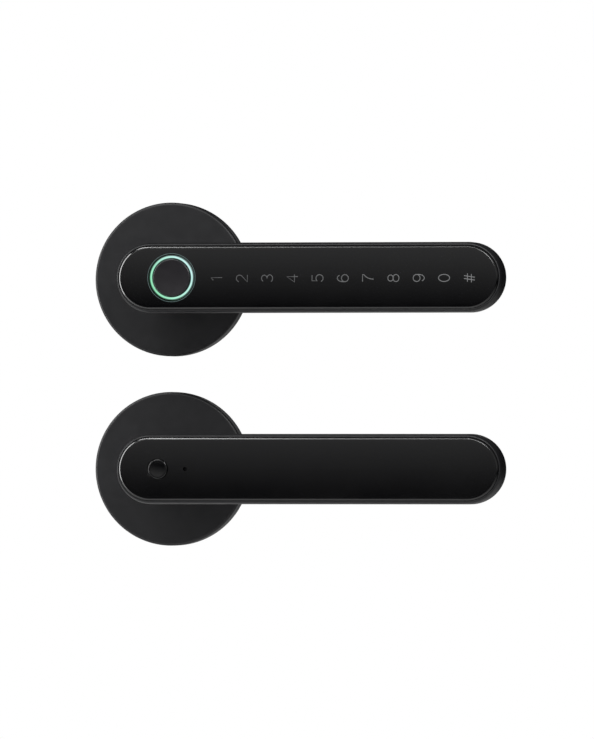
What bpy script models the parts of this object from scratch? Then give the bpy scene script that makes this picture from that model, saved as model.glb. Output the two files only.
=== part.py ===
"""Keypad lever lock: an outer and an inner lever unit for one door.

Each unit is modelled in its own frame: X right, Y up, Z out from the door face towards the
person who uses it. A unit's empty turns that frame upright, so world -Y is out and +Z is up.
"""
import math

import bmesh
import bpy

# Fits, in metres
GAP = 0.0003                 # between pieces that touch, slide or turn on each other
CELL_ROOM = 0.0003           # round each battery in its tray

# Where the two units stand
UNIT_PITCH = 0.0813          # outer lever axis to inner lever axis
LEVER_TURN = math.radians(50)

# Rose and mounting plate
ROSE_RADIUS = 0.0330
ROSE_DEPTH = 0.0095          # door face to the rose's front
ROSE_WALL = 0.0015
ROSE_EDGE = 0.0012
PLATE_THICKNESS = 0.0020
GASKET_THICKNESS = 0.0010

# Neck and its bearing
NECK_RADIUS = 0.0110
CABLE_BORE = 0.0030          # inner neck, past the spindle's end
NECK_LENGTH = 0.0335         # rose front to the lever's back
SPIGOT_WALL = 0.0015
SPIGOT_LENGTH = 0.0043
NUT_WALL = 0.0014
NUT_THICKNESS = 0.0015
CLIP_THICKNESS = 0.0008
CLIP_DEPTH = 0.0010          # how far the clip reaches into the neck
CLIP_OPENING = math.radians(40)
NECK_LIP = 0.0008
BUSH_WALL = 0.0013
COLLAR_WALL = 0.0016
COLLAR_LIP = 0.0006
COLLAR_FLANGE = 0.0010
CAM_ARM_WIDTH = 0.0030
SPRING_WIRE = 0.0005         # radius
SPRING_PITCH = 0.00133
SPRING_TURNS = 1.5
HEAD_RADIUS = 0.0030
POST_RADIUS = 0.0040
POST_LENGTH = 0.0300
POST_BORE = 0.0200
RIVET_HEAD = 0.0006
SCREW_RADIUS = 0.0020
SCREW_LENGTH = 0.0340
HEX_RADIUS = 0.0014
HEX_DEPTH = 0.0012

# Batteries, which set the lever's height and thickness
BATTERY_DIAMETER = 0.0105
BATTERY_LENGTH = 0.0445
BATTERY_NUB = 0.0008
BATTERY_NUB_RADIUS = 0.0019
TRAY_WALL = 0.0008
CONTACT_THICKNESS = 0.0005
LID_ROOM = 0.0021            # batteries to the front panel's back

# Lever
LEVER_SPAN = 0.1362          # between the centres of the end arcs
LEVER_WALL = 0.0028
LEVER_FLOOR = 0.0020
LEVER_BACK_ROUND = 0.0050
LEVER_FRONT_ROUND = 0.0039
LEVER_LIP = 0.0011           # how far the front edge draws in
PANEL_THICKNESS = 0.0020
PANEL_CHAMFER = 0.0005
PANEL_PROUD = 0.0008        # panel front beyond the housing's lip

# Outer lever's controls: X values are along the lever from its axis, insets are from its far arc
READER_X = 0.0094
READER_RADIUS = 0.00795
READER_DEPTH = 0.0060
RING_WIDTH = 0.0013
KEYPAD_START = 0.0210
BOARD_THICKNESS = 0.0012
BOARD_START = 0.0240
BOARD_INSET = 0.0126
BOARD_WIDTH = 0.0200
BOARD_SCREW_INSET = 0.0060
BOARD_SCREW_RADIUS = 0.0010
BOARD_HEIGHT = 0.0030        # control board's back above the lever's inner floor
BUZZER_RADIUS = 0.0045
BUZZER_HEIGHT = 0.0040
CONNECTOR_SIZE = (0.0050, 0.0090, 0.0030)
CONNECTOR_X = 0.0400
BUZZER_X = 0.0520
PORT_INSET = 0.0186
PORT_SIZE = (0.0089, 0.0073, 0.0033)
PORT_SHELL = 0.0004

# Clutch, inside the outer neck
SPINDLE_SIDE = 0.0080
SOCKET_WALL = 0.00112        # at the square's corners
SOCKET_DEPTH = 0.0060
SOCKET_WEB = 0.0005
SLOT_DEPTH = 0.0025
TONGUE_WIDTH = 0.0030
CLUTCH_TRAVEL = 0.0030
CLUTCH_FLANGE = 0.0030
STEM_RADIUS = 0.0020
STEM_LENGTH = 0.0040
LEADSCREW_RADIUS = 0.0008
MOTOR_RADIUS = 0.0050
MOTOR_LENGTH = 0.0150
SLEEVE_LENGTH = 0.0120
CLUTCH_WIRE = 0.00025        # radius
CLUTCH_TURNS = 3

# Inner lever's controls
BUTTON_X = 0.0035
BUTTON_RADIUS = 0.0041
BUTTON_PROUD = 0.0005
BUTTON_FLANGE = 0.0011
BUTTON_TRAVEL = 0.0010
STEM_REACH = 0.0021
PINHOLE_X = 0.0152
PINHOLE_RADIUS = 0.00085
PLUNGER_LENGTH = 0.0027
PLUNGER_TRAVEL = 0.0005
SWITCH_BOARD_RADIUS = 0.0100
SWITCH_BOARD_SPAN = 0.0078
SWITCH_BOARD_HEIGHT = 0.0050  # above the lever's inner floor
PRIVACY_SWITCH_SIDE = 0.0060
RESET_SWITCH_SIDE = 0.0045
INNER_CONNECTOR_X = -0.0060
TRAY_START = 0.0183
SPINDLE_REACH = 0.0600       # beyond the door face
SPINDLE_GRIP = 0.0190        # inside the neck
GRUB_RADIUS = 0.0020
GRUB_HEIGHT = 0.0045         # rose front to the grub screw

# Facets round a turned piece. The long ovals have a count with no facet corner on their middle
# line, where they are pulled apart, and one at each tip.
FINE = 32
MEDIUM = 24
SMALL = 12
OVAL = 34
OVAL_SMALL = 22
CELL_SIDES = 16
HEX = 6
MERGE = 0.000005
SHARP = math.radians(35)

# Worked out from the sizes above
NECK_BORE = (SPINDLE_SIDE / 2 + GAP) * math.sqrt(2) + SOCKET_WALL + GAP
SPIGOT_RADIUS = NECK_BORE + SPIGOT_WALL
PLATE_RADIUS = ROSE_RADIUS - ROSE_WALL - GAP
BUSH_RADIUS = NECK_RADIUS + GAP + BUSH_WALL
COLLAR_BORE = BUSH_RADIUS + GAP
COLLAR_RADIUS = COLLAR_BORE + COLLAR_WALL
COLLAR_BACK = PLATE_THICKNESS + GAP
COLLAR_FRONT = ROSE_DEPTH - ROSE_WALL - GAP
NECK_END = PLATE_THICKNESS + GAP
CLIP_BACK = NECK_END + NECK_LIP + GAP
CLIP_FRONT = CLIP_BACK + CLIP_THICKNESS
GROOVE_RADIUS = NECK_RADIUS - CLIP_DEPTH - GAP
SPRING_RADIUS = COLLAR_RADIUS + GAP + SPRING_WIRE
POST_REACH = COLLAR_RADIUS + COLLAR_FLANGE + GAP + HEAD_RADIUS
CAM_REACH = SPRING_RADIUS + SPRING_WIRE + GAP
CAVITY_RADIUS = BATTERY_DIAMETER + 2 * CELL_ROOM + TRAY_WALL + GAP
LEVER_RADIUS = CAVITY_RADIUS + LEVER_WALL
LEVER_BACK = ROSE_DEPTH + NECK_LENGTH
LEVER_INSIDE = LEVER_BACK + LEVER_FLOOR
TRAY_BACK = LEVER_INSIDE + GAP
BATTERY_HEIGHT = TRAY_BACK + TRAY_WALL + CELL_ROOM + BATTERY_DIAMETER / 2
PANEL_BACK = BATTERY_HEIGHT + BATTERY_DIAMETER / 2 + LID_ROOM
PANEL_FRONT = PANEL_BACK + PANEL_THICKNESS
LEDGE = PANEL_BACK - GAP
LIP_FRONT = PANEL_FRONT - PANEL_PROUD
PANEL_POCKET = LEVER_RADIUS - LEVER_LIP - GAP
PANEL_RADIUS = PANEL_POCKET - GAP
BOARD_BACK = LEVER_INSIDE + BOARD_HEIGHT
BOARD_FRONT = BOARD_BACK + BOARD_THICKNESS


def clear_scene():
    for item in list(bpy.data.objects):
        bpy.data.objects.remove(item, do_unlink=True)


def collection(name):
    made = bpy.data.collections.new(name)
    bpy.context.scene.collection.children.link(made)
    return made


def material(name, colour, roughness, metallic=0.0):
    made = bpy.data.materials.new(name)
    made.use_nodes = True
    shader = made.node_tree.nodes["Principled BSDF"]
    shader.inputs["Base Color"].default_value = (*colour, 1.0)
    shader.inputs["Roughness"].default_value = roughness
    shader.inputs["Metallic"].default_value = metallic
    return made


def axis_empty(name, parent, location=(0, 0, 0), rotation=(0, 0, 0)):
    empty = bpy.data.objects.new(name, None)
    empty.empty_display_size = 0.01
    empty.location = location
    empty.rotation_euler = rotation
    empty.parent = parent
    PARTS.objects.link(empty)
    return empty


def place(name, mesh, look, parent, location=(0, 0, 0), rotation=(0, 0, 0)):
    """Add a sub-part, in its own material, to the model."""
    part = bpy.data.objects.new(name, mesh)
    part.location = location
    part.rotation_euler = rotation
    part.parent = parent
    mesh.materials.append(look)
    PARTS.objects.link(part)
    return part


def tool(name, mesh, parent, location=(0, 0, 0), rotation=(0, 0, 0)):
    """Add a shape that only cuts or joins a sub-part."""
    shape = bpy.data.objects.new(name, mesh)
    shape.location = location
    shape.rotation_euler = rotation
    shape.parent = parent
    shape.hide_render = True
    shape.display_type = "WIRE"
    CUTTERS.objects.link(shape)
    return shape


def cut(part, shape):
    change = part.modifiers.new("cut " + shape.name, "BOOLEAN")
    change.operation = "DIFFERENCE"
    change.object = shape


def join(part, shape):
    change = part.modifiers.new("join " + shape.name, "BOOLEAN")
    change.operation = "UNION"
    change.object = shape


def finish_mesh(name, work, smooth=True):
    bmesh.ops.recalc_face_normals(work, faces=work.faces)
    mesh = bpy.data.meshes.new(name)
    work.to_mesh(mesh)
    work.free()
    if smooth:
        mesh.shade_smooth()
        mesh.set_sharp_from_angle(angle=SHARP)
    return mesh


def box_mesh(size):
    work = bmesh.new()
    bmesh.ops.create_cube(work, size=1.0)
    bmesh.ops.scale(work, vec=size, verts=work.verts)
    return finish_mesh("box", work, smooth=False)


def rod_mesh(radius, low, high, sides=MEDIUM):
    """A cylinder along Z between two heights."""
    work = bmesh.new()
    bmesh.ops.create_cone(work, cap_ends=True, segments=sides,
                          radius1=radius, radius2=radius, depth=high - low)
    bmesh.ops.translate(work, vec=(0, 0, (low + high) / 2), verts=work.verts)
    return finish_mesh("rod", work)


def section_edges(points):
    """Join a section's points, and close it when it stays clear of the axis."""
    edges = [(index, index + 1) for index in range(len(points) - 1)]
    if min(radius for radius, height in points) > 0:
        edges.append((len(points) - 1, 0))
    return edges


def turned(name, points, look, parent, steps=FINE, location=(0, 0, 0), rotation=(0, 0, 0), shape=False):
    """Turn (radius, height) points, which run down the outer side, about Z."""
    mesh = bpy.data.meshes.new(name)
    mesh.from_pydata([(radius, 0, height) for radius, height in points], section_edges(points), [])
    add = tool(name, mesh, parent, location, rotation) if shape else place(
        name, mesh, look, parent, location, rotation)
    screw = add.modifiers.new("turn", "SCREW")
    screw.steps = steps
    screw.render_steps = steps
    screw.use_merge_vertices = True
    screw.merge_threshold = MERGE
    return add


def stretched_mesh(points, span, steps=OVAL):
    """Turn a section about Z, then pull the two halves apart along X into a long oval."""
    work = bmesh.new()
    verts = [work.verts.new((radius, 0, height)) for radius, height in points]
    for start, end in section_edges(points):
        work.edges.new((verts[start], verts[end]))
    bmesh.ops.spin(work, geom=work.verts[:] + work.edges[:], cent=(0, 0, 0), axis=(0, 0, 1),
                   angle=math.tau, steps=steps, use_merge=True)
    bmesh.ops.remove_doubles(work, verts=work.verts, dist=MERGE)
    far_half = [vert for vert in work.verts if vert.co.x > MERGE]
    bmesh.ops.translate(work, vec=(span, 0, 0), verts=far_half)
    return finish_mesh("long oval", work)


def sector_mesh(inner, outer, low, high, start, sweep, steps=SMALL):
    """A ring's sector; angles run clockwise from up, as a person facing the door sees them."""
    work = bmesh.new()
    corners = [(inner, low), (outer, low), (outer, high), (inner, high)]
    right, up = math.sin(start), math.cos(start)
    verts = [work.verts.new((radius * right, radius * up, height)) for radius, height in corners]
    face = work.faces.new(verts)
    bmesh.ops.spin(work, geom=[face], cent=(0, 0, 0), axis=(0, 0, -1), angle=sweep, steps=steps)
    return finish_mesh("sector", work)


def quarter(radius, height, across, along, start, end, count):
    """Points on a quarter of an ellipse round a section's corner, whose centre is (radius, height)."""
    angles = [start + (end - start) * step / count for step in range(count + 1)]
    return [(radius + across * math.cos(angle), height + along * math.sin(angle)) for angle in angles]


def wire(name, points, radius, look, parent):
    """A round wire through the points."""
    curve = bpy.data.curves.new(name, "CURVE")
    curve.dimensions = "3D"
    curve.bevel_depth = radius
    curve.bevel_resolution = 2
    curve.use_fill_caps = True
    spline = curve.splines.new("POLY")
    spline.points.add(len(points) - 1)
    for target, point in zip(spline.points, points):
        target.co = (*point, 1.0)
    curve.materials.append(look)
    part = bpy.data.objects.new(name, curve)
    part.parent = parent
    PARTS.objects.link(part)
    return part


# Rose, plate, bearing and return spring, shared by both units

def rose_cover(side, unit, rim):
    front = ROSE_DEPTH
    inside = ROSE_DEPTH - ROSE_WALL
    hole = NECK_RADIUS + GAP
    rounded = quarter(ROSE_RADIUS - ROSE_EDGE, front - ROSE_EDGE, ROSE_EDGE, ROSE_EDGE, math.pi / 2, 0, 2)
    inner = ROSE_RADIUS - ROSE_WALL
    points = [(hole, front)] + rounded
    points += [(ROSE_RADIUS, rim), (inner, rim), (inner, inside), (hole, inside)]
    turned(side + "_rose_cover", points, LOOKS["satin_black"], unit)


def mounting_plate(side, unit):
    hole = NECK_BORE + GAP
    points = [(hole, PLATE_THICKNESS), (PLATE_RADIUS, PLATE_THICKNESS), (PLATE_RADIUS, 0), (hole, 0)]
    plate = turned(side + "_mounting_plate", points, LOOKS["zinc_steel"], unit)
    leg_hole = rod_mesh(SPRING_WIRE + GAP, -GAP, PLATE_THICKNESS + GAP, SMALL)
    cut(plate, tool(side + "_spring_leg_hole", leg_hole, unit, (0, -POST_REACH, 0), (0, 0, math.pi / SMALL)))
    return plate


def bearing_collar(side, unit):
    outer = COLLAR_RADIUS
    flange = COLLAR_RADIUS + COLLAR_FLANGE
    flange_front = COLLAR_BACK + COLLAR_FLANGE
    lip_bore = NECK_RADIUS + GAP
    lip_back = COLLAR_FRONT - COLLAR_LIP
    points = [(lip_bore, COLLAR_FRONT), (outer, COLLAR_FRONT)]
    points += [(outer, flange_front), (flange, flange_front), (flange, COLLAR_BACK)]
    points += [(COLLAR_BORE, COLLAR_BACK), (COLLAR_BORE, lip_back), (lip_bore, lip_back)]
    collar = turned(side + "_bearing_collar", points, LOOKS["zinc_steel"], unit, MEDIUM)
    arm_half_angle = math.asin((CAM_ARM_WIDTH / 2 + 3 * GAP) / COLLAR_RADIUS)
    window = sector_mesh(NECK_RADIUS, flange + GAP, CLIP_BACK - GAP, CLIP_FRONT + GAP,
                         -arm_half_angle, LEVER_TURN + 2 * arm_half_angle)
    cut(collar, tool(side + "_cam_window", window, unit))


def neck_bush(side, unit):
    low = CLIP_FRONT + 2 * GAP
    high = COLLAR_FRONT - COLLAR_LIP - GAP
    bore = NECK_RADIUS + GAP
    points = [(bore, high), (BUSH_RADIUS, high), (BUSH_RADIUS, low), (bore, low)]
    turned(side + "_neck_bush", points, LOOKS["nylon"], unit, MEDIUM)


def cam_clip(side, lever):
    """A spring clip in the neck's groove, whose arm reaches out to the return spring."""
    ring = sector_mesh(GROOVE_RADIUS + GAP, BUSH_RADIUS, CLIP_BACK, CLIP_FRONT,
                       math.pi + CLIP_OPENING / 2, math.tau - CLIP_OPENING, MEDIUM)
    clip = place(side + "_cam_clip", ring, LOOKS["spring_steel"], lever)
    root = BUSH_RADIUS - 2 * GAP
    length = CAM_REACH - root
    arm = box_mesh((CAM_ARM_WIDTH, length, CLIP_THICKNESS))
    height = (CLIP_BACK + CLIP_FRONT) / 2
    join(clip, tool(side + "_cam_arm", arm, lever, (0, root + length / 2, height)))


def return_spring(side, unit):
    """A coil round the collar: one leg against the cam's arm, one in the plate."""
    start = math.asin((CAM_ARM_WIDTH / 2 + GAP + SPRING_WIRE) / SPRING_RADIUS)
    low = CLIP_FRONT + GAP + SPRING_WIRE
    count = int(16 * SPRING_TURNS)
    sweep = math.pi * 2 * SPRING_TURNS - start
    points = [(SPRING_RADIUS * math.sin(start), SPRING_RADIUS * math.cos(start), CLIP_BACK)]
    for step in range(count + 1):
        angle = start + sweep * step / count
        height = low + SPRING_PITCH * SPRING_TURNS * step / count
        points.append((SPRING_RADIUS * math.sin(angle), SPRING_RADIUS * math.cos(angle), height))
    top = points[-1][2]
    points += [(0, -POST_REACH, top), (0, -POST_REACH, PLATE_THICKNESS / 2)]
    wire(side + "_return_spring", points, SPRING_WIRE, LOOKS["spring_steel"], unit)


# Lever housing, neck and nut, shared by both levers

def lever_housing(side, lever):
    lip = LEVER_RADIUS - LEVER_LIP
    front = quarter(lip, LIP_FRONT - LEVER_FRONT_ROUND, LEVER_LIP, LEVER_FRONT_ROUND, math.pi / 2, 0, 3)
    round_radius = LEVER_RADIUS - LEVER_BACK_ROUND
    round_height = LEVER_BACK + LEVER_BACK_ROUND
    back = quarter(round_radius, round_height, LEVER_BACK_ROUND, LEVER_BACK_ROUND, 0, -math.pi / 2, 3)
    points = [(0, LEVER_INSIDE), (CAVITY_RADIUS, LEVER_INSIDE), (CAVITY_RADIUS, LEDGE)]
    points += [(PANEL_POCKET, LEDGE), (PANEL_POCKET, LIP_FRONT)] + front + back + [(0, LEVER_BACK)]
    housing = place(side + "_lever_housing", stretched_mesh(points, LEVER_SPAN), LOOKS["satin_black"], lever)
    hole = rod_mesh(SPIGOT_RADIUS + GAP, LEVER_BACK - GAP, LEVER_INSIDE + GAP)
    cut(housing, tool(side + "_spigot_hole", hole, lever))
    return housing


def neck(side, lever, bore):
    shoulder = LEVER_BACK - GAP
    spigot_end = shoulder + SPIGOT_LENGTH
    groove_back = CLIP_BACK - GAP
    groove_front = CLIP_FRONT + GAP
    points = [(bore, spigot_end), (SPIGOT_RADIUS, spigot_end)]
    points += [(SPIGOT_RADIUS, shoulder), (NECK_RADIUS, shoulder)]
    points += [(NECK_RADIUS, groove_front), (GROOVE_RADIUS, groove_front), (GROOVE_RADIUS, groove_back)]
    points += [(NECK_RADIUS, groove_back), (NECK_RADIUS, NECK_END), (bore, NECK_END)]
    return turned(side + "_neck", points, LOOKS["satin_black"], lever, MEDIUM)


def neck_nut(side, lever):
    low = LEVER_INSIDE + GAP
    high = low + NUT_THICKNESS
    bore = SPIGOT_RADIUS + GAP
    outer = bore + NUT_WALL
    points = [(bore, high), (outer, high), (outer, low), (bore, low)]
    turned(side + "_neck_nut", points, LOOKS["zinc_steel"], lever, MEDIUM)


def front_panel(name, look, lever):
    points = [(0, PANEL_FRONT), (PANEL_RADIUS - PANEL_CHAMFER, PANEL_FRONT)]
    points += [(PANEL_RADIUS, PANEL_FRONT - PANEL_CHAMFER), (PANEL_RADIUS, PANEL_BACK), (0, PANEL_BACK)]
    return place(name, stretched_mesh(points, LEVER_SPAN), look, lever)


# Outer unit

def gasket(unit):
    inner = PLATE_RADIUS + GAP
    points = [(inner, GASKET_THICKNESS), (ROSE_RADIUS, GASKET_THICKNESS), (ROSE_RADIUS, 0), (inner, 0)]
    turned("outer_gasket", points, LOOKS["rubber"], unit)


def fixing_posts(plate, unit):
    """Internally threaded posts riveted through the plate, one each side of the neck."""
    head = PLATE_THICKNESS + GAP
    end = -GAP - POST_LENGTH
    bore_end = end + POST_BORE
    stub = SCREW_RADIUS
    points = [(0, head + RIVET_HEAD), (HEAD_RADIUS, head + RIVET_HEAD), (HEAD_RADIUS, head), (stub, head)]
    points += [(stub, -GAP), (POST_RADIUS, -GAP), (POST_RADIUS, end)]
    points += [(SCREW_RADIUS, end), (SCREW_RADIUS, bore_end), (0, bore_end)]
    for name, x in (("left", -POST_REACH), ("right", POST_REACH)):
        turned("fixing_post_" + name, points, LOOKS["zinc_steel"], unit, SMALL, (x, 0, 0))
        hole = rod_mesh(stub + GAP, -GAP, PLATE_THICKNESS + GAP, SMALL)
        cut(plate, tool("post_hole_" + name, hole, unit, (x, 0, 0)))


def touch_panel(lever):
    panel = front_panel("touch_panel", LOOKS["panel_glass"], lever)
    hole = rod_mesh(READER_RADIUS + RING_WIDTH + 2 * GAP, PANEL_BACK - GAP, PANEL_FRONT + GAP, FINE)
    cut(panel, tool("reader_hole", hole, lever, (READER_X, 0, 0)))


def fingerprint_reader(lever):
    inner = READER_RADIUS + GAP
    outer = inner + RING_WIDTH
    front = PANEL_FRONT
    back = front - READER_DEPTH
    board_front = back - GAP
    centre = (READER_X, 0, 0)
    cap = [(0, front), (READER_RADIUS, front), (READER_RADIUS, back), (0, back)]
    turned("fingerprint_sensor", cap, LOOKS["sensor_cap"], lever, FINE, centre)
    ring = [(inner, front), (outer, front), (outer, back), (inner, back)]
    turned("light_ring", ring, LOOKS["light_ring"], lever, FINE, centre)
    board = rod_mesh(outer + GAP, board_front - BOARD_THICKNESS, board_front)
    place("sensor_board", board, LOOKS["circuit_board"], lever, centre)


def keypad_board(lever):
    radius = CAVITY_RADIUS - 2 * GAP
    front = PANEL_BACK - 2 * GAP
    back = front - BOARD_THICKNESS
    points = [(0, front), (radius, front), (radius, back), (0, back)]
    start = KEYPAD_START + radius
    board = stretched_mesh(points, LEVER_SPAN - start, OVAL_SMALL)
    place("keypad_board", board, LOOKS["circuit_board"], lever, (start, 0, 0))


def control_board(housing, lever):
    """The main board stands on two bosses inside the lever, with a screw in each."""
    first, last = BOARD_START, LEVER_SPAN - BOARD_INSET
    height = (BOARD_BACK + BOARD_FRONT) / 2
    slab = box_mesh((last - first, BOARD_WIDTH, BOARD_THICKNESS))
    board = place("control_board", slab, LOOKS["circuit_board"], lever, ((first + last) / 2, 0, height))
    shank = BOARD_SCREW_RADIUS
    for index, x in enumerate((first + BOARD_SCREW_INSET, last - BOARD_SCREW_INSET), 1):
        spot = (x, 0, 0)
        boss = rod_mesh(3 * shank, LEVER_INSIDE - GAP, BOARD_BACK - GAP, SMALL)
        join(housing, tool(f"board_boss_{index}", boss, lever, spot))
        hole = rod_mesh(shank + GAP, LEVER_INSIDE, BOARD_FRONT + GAP, SMALL)
        bore = tool(f"board_screw_hole_{index}", hole, lever, spot)
        cut(housing, bore)
        cut(board, bore)
        head_back = BOARD_FRONT + GAP
        head_front = head_back + 4 * GAP
        points = [(0, head_front), (2 * shank, head_front), (2 * shank, head_back), (shank, head_back)]
        points += [(shank, LEVER_INSIDE + GAP), (0, LEVER_INSIDE + GAP)]
        turned(f"board_screw_{index}", points, LOOKS["zinc_steel"], lever, SMALL, spot)


def buzzer(lever):
    low = BOARD_FRONT + GAP
    case = rod_mesh(BUZZER_RADIUS, low, low + BUZZER_HEIGHT, MEDIUM)
    place("buzzer", case, LOOKS["black_plastic"], lever, (BUZZER_X, 0, 0))


def cable_connector(name, lever, x, board_front):
    length, width, height = CONNECTOR_SIZE
    spot = (x, 0, board_front + GAP + height / 2)
    socket = place(name, box_mesh(CONNECTOR_SIZE), LOOKS["white_plastic"], lever, spot)
    mouth = box_mesh((length - 4 * GAP, width - 4 * GAP, height))
    cut(socket, tool(name + "_mouth", mouth, lever, (x, 0, spot[2] + 4 * GAP)))


def emergency_port(housing, lever):
    """A power socket in the lever's underside, for a lock whose batteries are flat."""
    x = LEVER_SPAN - PORT_INSET
    width, depth, height = PORT_SIZE
    level = BOARD_FRONT + 2 * GAP + height / 2
    face = -LEVER_RADIUS + 2 * GAP
    spot = (x, face + depth / 2, level)
    port = place("emergency_port", box_mesh(PORT_SIZE), LOOKS["bright_steel"], lever, spot)
    mouth = box_mesh((width - 2 * PORT_SHELL, depth, height - 2 * PORT_SHELL))
    cut(port, tool("port_mouth", mouth, lever, (x, face + depth / 2 - 2 * PORT_SHELL, level)))
    slot = box_mesh((width + 2 * GAP, 3 * LEVER_WALL, height + 2 * GAP))
    cut(housing, tool("port_slot", slot, lever, (x, -LEVER_RADIUS, level)))


# Clutch in the outer neck

def clutch_levels():
    """Heights of the socket's front, the clutch flange's back and the motor's back."""
    socket_front = NECK_END + GAP + SOCKET_DEPTH + SOCKET_WEB + SLOT_DEPTH
    flange_back = socket_front + GAP
    motor_back = flange_back + CLUTCH_FLANGE + STEM_LENGTH + CLUTCH_TRAVEL + 2 * GAP
    return socket_front, flange_back, motor_back


def drive_socket(unit):
    """The square socket that takes the spindle from the inner unit."""
    socket_front = clutch_levels()[0]
    back = NECK_END + GAP
    blank = rod_mesh(NECK_BORE - GAP, back, socket_front, FINE)
    socket = place("drive_socket", blank, LOOKS["zinc_steel"], unit)
    side = SPINDLE_SIDE + 2 * GAP
    square = box_mesh((side, side, 2 * SOCKET_DEPTH))
    cut(socket, tool("spindle_square", square, unit, (0, 0, back)))
    slot = box_mesh((3 * NECK_BORE, TONGUE_WIDTH + 2 * GAP, 2 * SLOT_DEPTH))
    cut(socket, tool("clutch_slot", slot, unit, (0, 0, socket_front)))


def clutch_pin(lever):
    socket_front, flange_back, motor_back = clutch_levels()
    radius = NECK_BORE - 2 * GAP
    flange_front = flange_back + CLUTCH_FLANGE
    stem_front = flange_front + STEM_LENGTH
    bore = LEADSCREW_RADIUS + GAP
    bore_end = flange_back + 4 * GAP
    points = [(0, bore_end), (bore, bore_end), (bore, stem_front), (STEM_RADIUS, stem_front)]
    points += [(STEM_RADIUS, flange_front), (radius, flange_front), (radius, flange_back), (0, flange_back)]
    pin = turned("clutch_pin", points, LOOKS["brass"], lever, MEDIUM)
    tongue_end = socket_front - SLOT_DEPTH + GAP
    length = flange_back + 2 * GAP - tongue_end
    tongue = box_mesh((2 * radius - 4 * GAP, TONGUE_WIDTH, length))
    join(pin, tool("clutch_tongue", tongue, lever, (0, 0, tongue_end + length / 2)))


def clutch_spring(lever):
    socket_front, flange_back, motor_back = clutch_levels()
    low = flange_back + CLUTCH_FLANGE + GAP + CLUTCH_WIRE
    high = motor_back - GAP - CLUTCH_WIRE
    radius = STEM_RADIUS + 3 * GAP + CLUTCH_WIRE
    count = 8 * CLUTCH_TURNS
    points = []
    for step in range(count + 1):
        angle = math.tau * CLUTCH_TURNS * step / count
        points.append((radius * math.cos(angle), radius * math.sin(angle), low + (high - low) * step / count))
    wire("clutch_spring", points, CLUTCH_WIRE, LOOKS["spring_steel"], lever)


def clutch_motor(lever):
    """The motor and its lead screw, in a sleeve that centres it in the neck."""
    socket_front, flange_back, motor_back = clutch_levels()
    screw_tip = flange_back + 4 * GAP + CLUTCH_TRAVEL + GAP
    motor_front = motor_back + MOTOR_LENGTH
    points = [(0, motor_front), (MOTOR_RADIUS, motor_front), (MOTOR_RADIUS, motor_back)]
    points += [(LEADSCREW_RADIUS, motor_back), (LEADSCREW_RADIUS, screw_tip), (0, screw_tip)]
    turned("clutch_motor", points, LOOKS["bright_steel"], lever, MEDIUM)
    inner = MOTOR_RADIUS + GAP
    outer = NECK_BORE - GAP
    low = motor_back + (MOTOR_LENGTH - SLEEVE_LENGTH) / 2
    high = low + SLEEVE_LENGTH
    sleeve = [(inner, high), (outer, high), (outer, low), (inner, low)]
    turned("motor_sleeve", sleeve, LOOKS["nylon"], lever, MEDIUM)


# Inner unit

def fixing_screws(plate, unit):
    """Countersunk screws that run through the door into the outer unit's posts."""
    flat = PLATE_THICKNESS - GAP
    head_back = flat - (HEAD_RADIUS - SCREW_RADIUS)
    points = [(0, flat), (HEAD_RADIUS, flat), (SCREW_RADIUS, head_back), (SCREW_RADIUS, -SCREW_LENGTH)]
    points.append((0, -SCREW_LENGTH))
    clear = SCREW_RADIUS + GAP
    above = PLATE_THICKNESS + GAP
    seat = [(0, above), (HEAD_RADIUS + 2 * GAP, above), (clear, head_back - GAP), (clear, -GAP), (0, -GAP)]
    for name, x in (("left", -POST_REACH), ("right", POST_REACH)):
        screw = turned("fixing_screw_" + name, points, LOOKS["zinc_steel"], unit, SMALL, (x, 0, 0))
        recess = rod_mesh(HEX_RADIUS, flat - HEX_DEPTH, flat + GAP, HEX)
        cut(screw, tool("hex_recess_" + name, recess, unit, (x, 0, 0)))
        cut(plate, turned("countersink_" + name, seat, None, unit, SMALL, (x, 0, 0), shape=True))


def spindle(neck_part, lever):
    """A square bar held in the inner neck by a grub screw, and running through the door."""
    end = NECK_END + SPINDLE_GRIP
    length = end + SPINDLE_REACH
    bar = box_mesh((SPINDLE_SIDE, SPINDLE_SIDE, length))
    place("spindle", bar, LOOKS["zinc_steel"], lever, (0, 0, end - length / 2))
    side = SPINDLE_SIDE + 2 * GAP
    square = box_mesh((side, side, 2 * (SPINDLE_GRIP + GAP)))
    cut(neck_part, tool("neck_square", square, lever, (0, 0, NECK_END)))
    level = ROSE_DEPTH + GRUB_HEIGHT
    down = (math.pi / 2, 0, 0)
    hole = rod_mesh(GRUB_RADIUS + GAP, SPINDLE_SIDE / 2 - GAP, NECK_RADIUS + GAP, SMALL)
    cut(neck_part, tool("grub_hole", hole, lever, (0, 0, level), down))
    grub_end = NECK_RADIUS - 2 * GAP
    grub = rod_mesh(GRUB_RADIUS, SPINDLE_SIDE / 2 + GAP, grub_end, SMALL)
    screw = place("grub_screw", grub, LOOKS["zinc_steel"], lever, (0, 0, level), down)
    recess = rod_mesh(GRUB_RADIUS / 2, grub_end - GRUB_RADIUS, grub_end + GAP, HEX)
    cut(screw, tool("grub_recess", recess, lever, (0, 0, level), down))


def battery_cover(lever):
    cover = front_panel("battery_cover", LOOKS["gloss_black"], lever)
    holes = (("button_hole", BUTTON_X, BUTTON_RADIUS + GAP), ("pinhole", PINHOLE_X, PINHOLE_RADIUS))
    for name, x, radius in holes:
        hole = rod_mesh(radius, PANEL_BACK - GAP, PANEL_FRONT + GAP, MEDIUM)
        cut(cover, tool(name, hole, lever, (x, 0, 0)))


def bay_length():
    """A battery with a contact plate, loose by a gap each side, at each end."""
    return BATTERY_LENGTH + 2 * (CONTACT_THICKNESS + 2 * GAP)


def bay_middle(bay):
    return TRAY_START + TRAY_WALL + bay_length() / 2 + bay * (bay_length() + TRAY_WALL)


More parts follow.
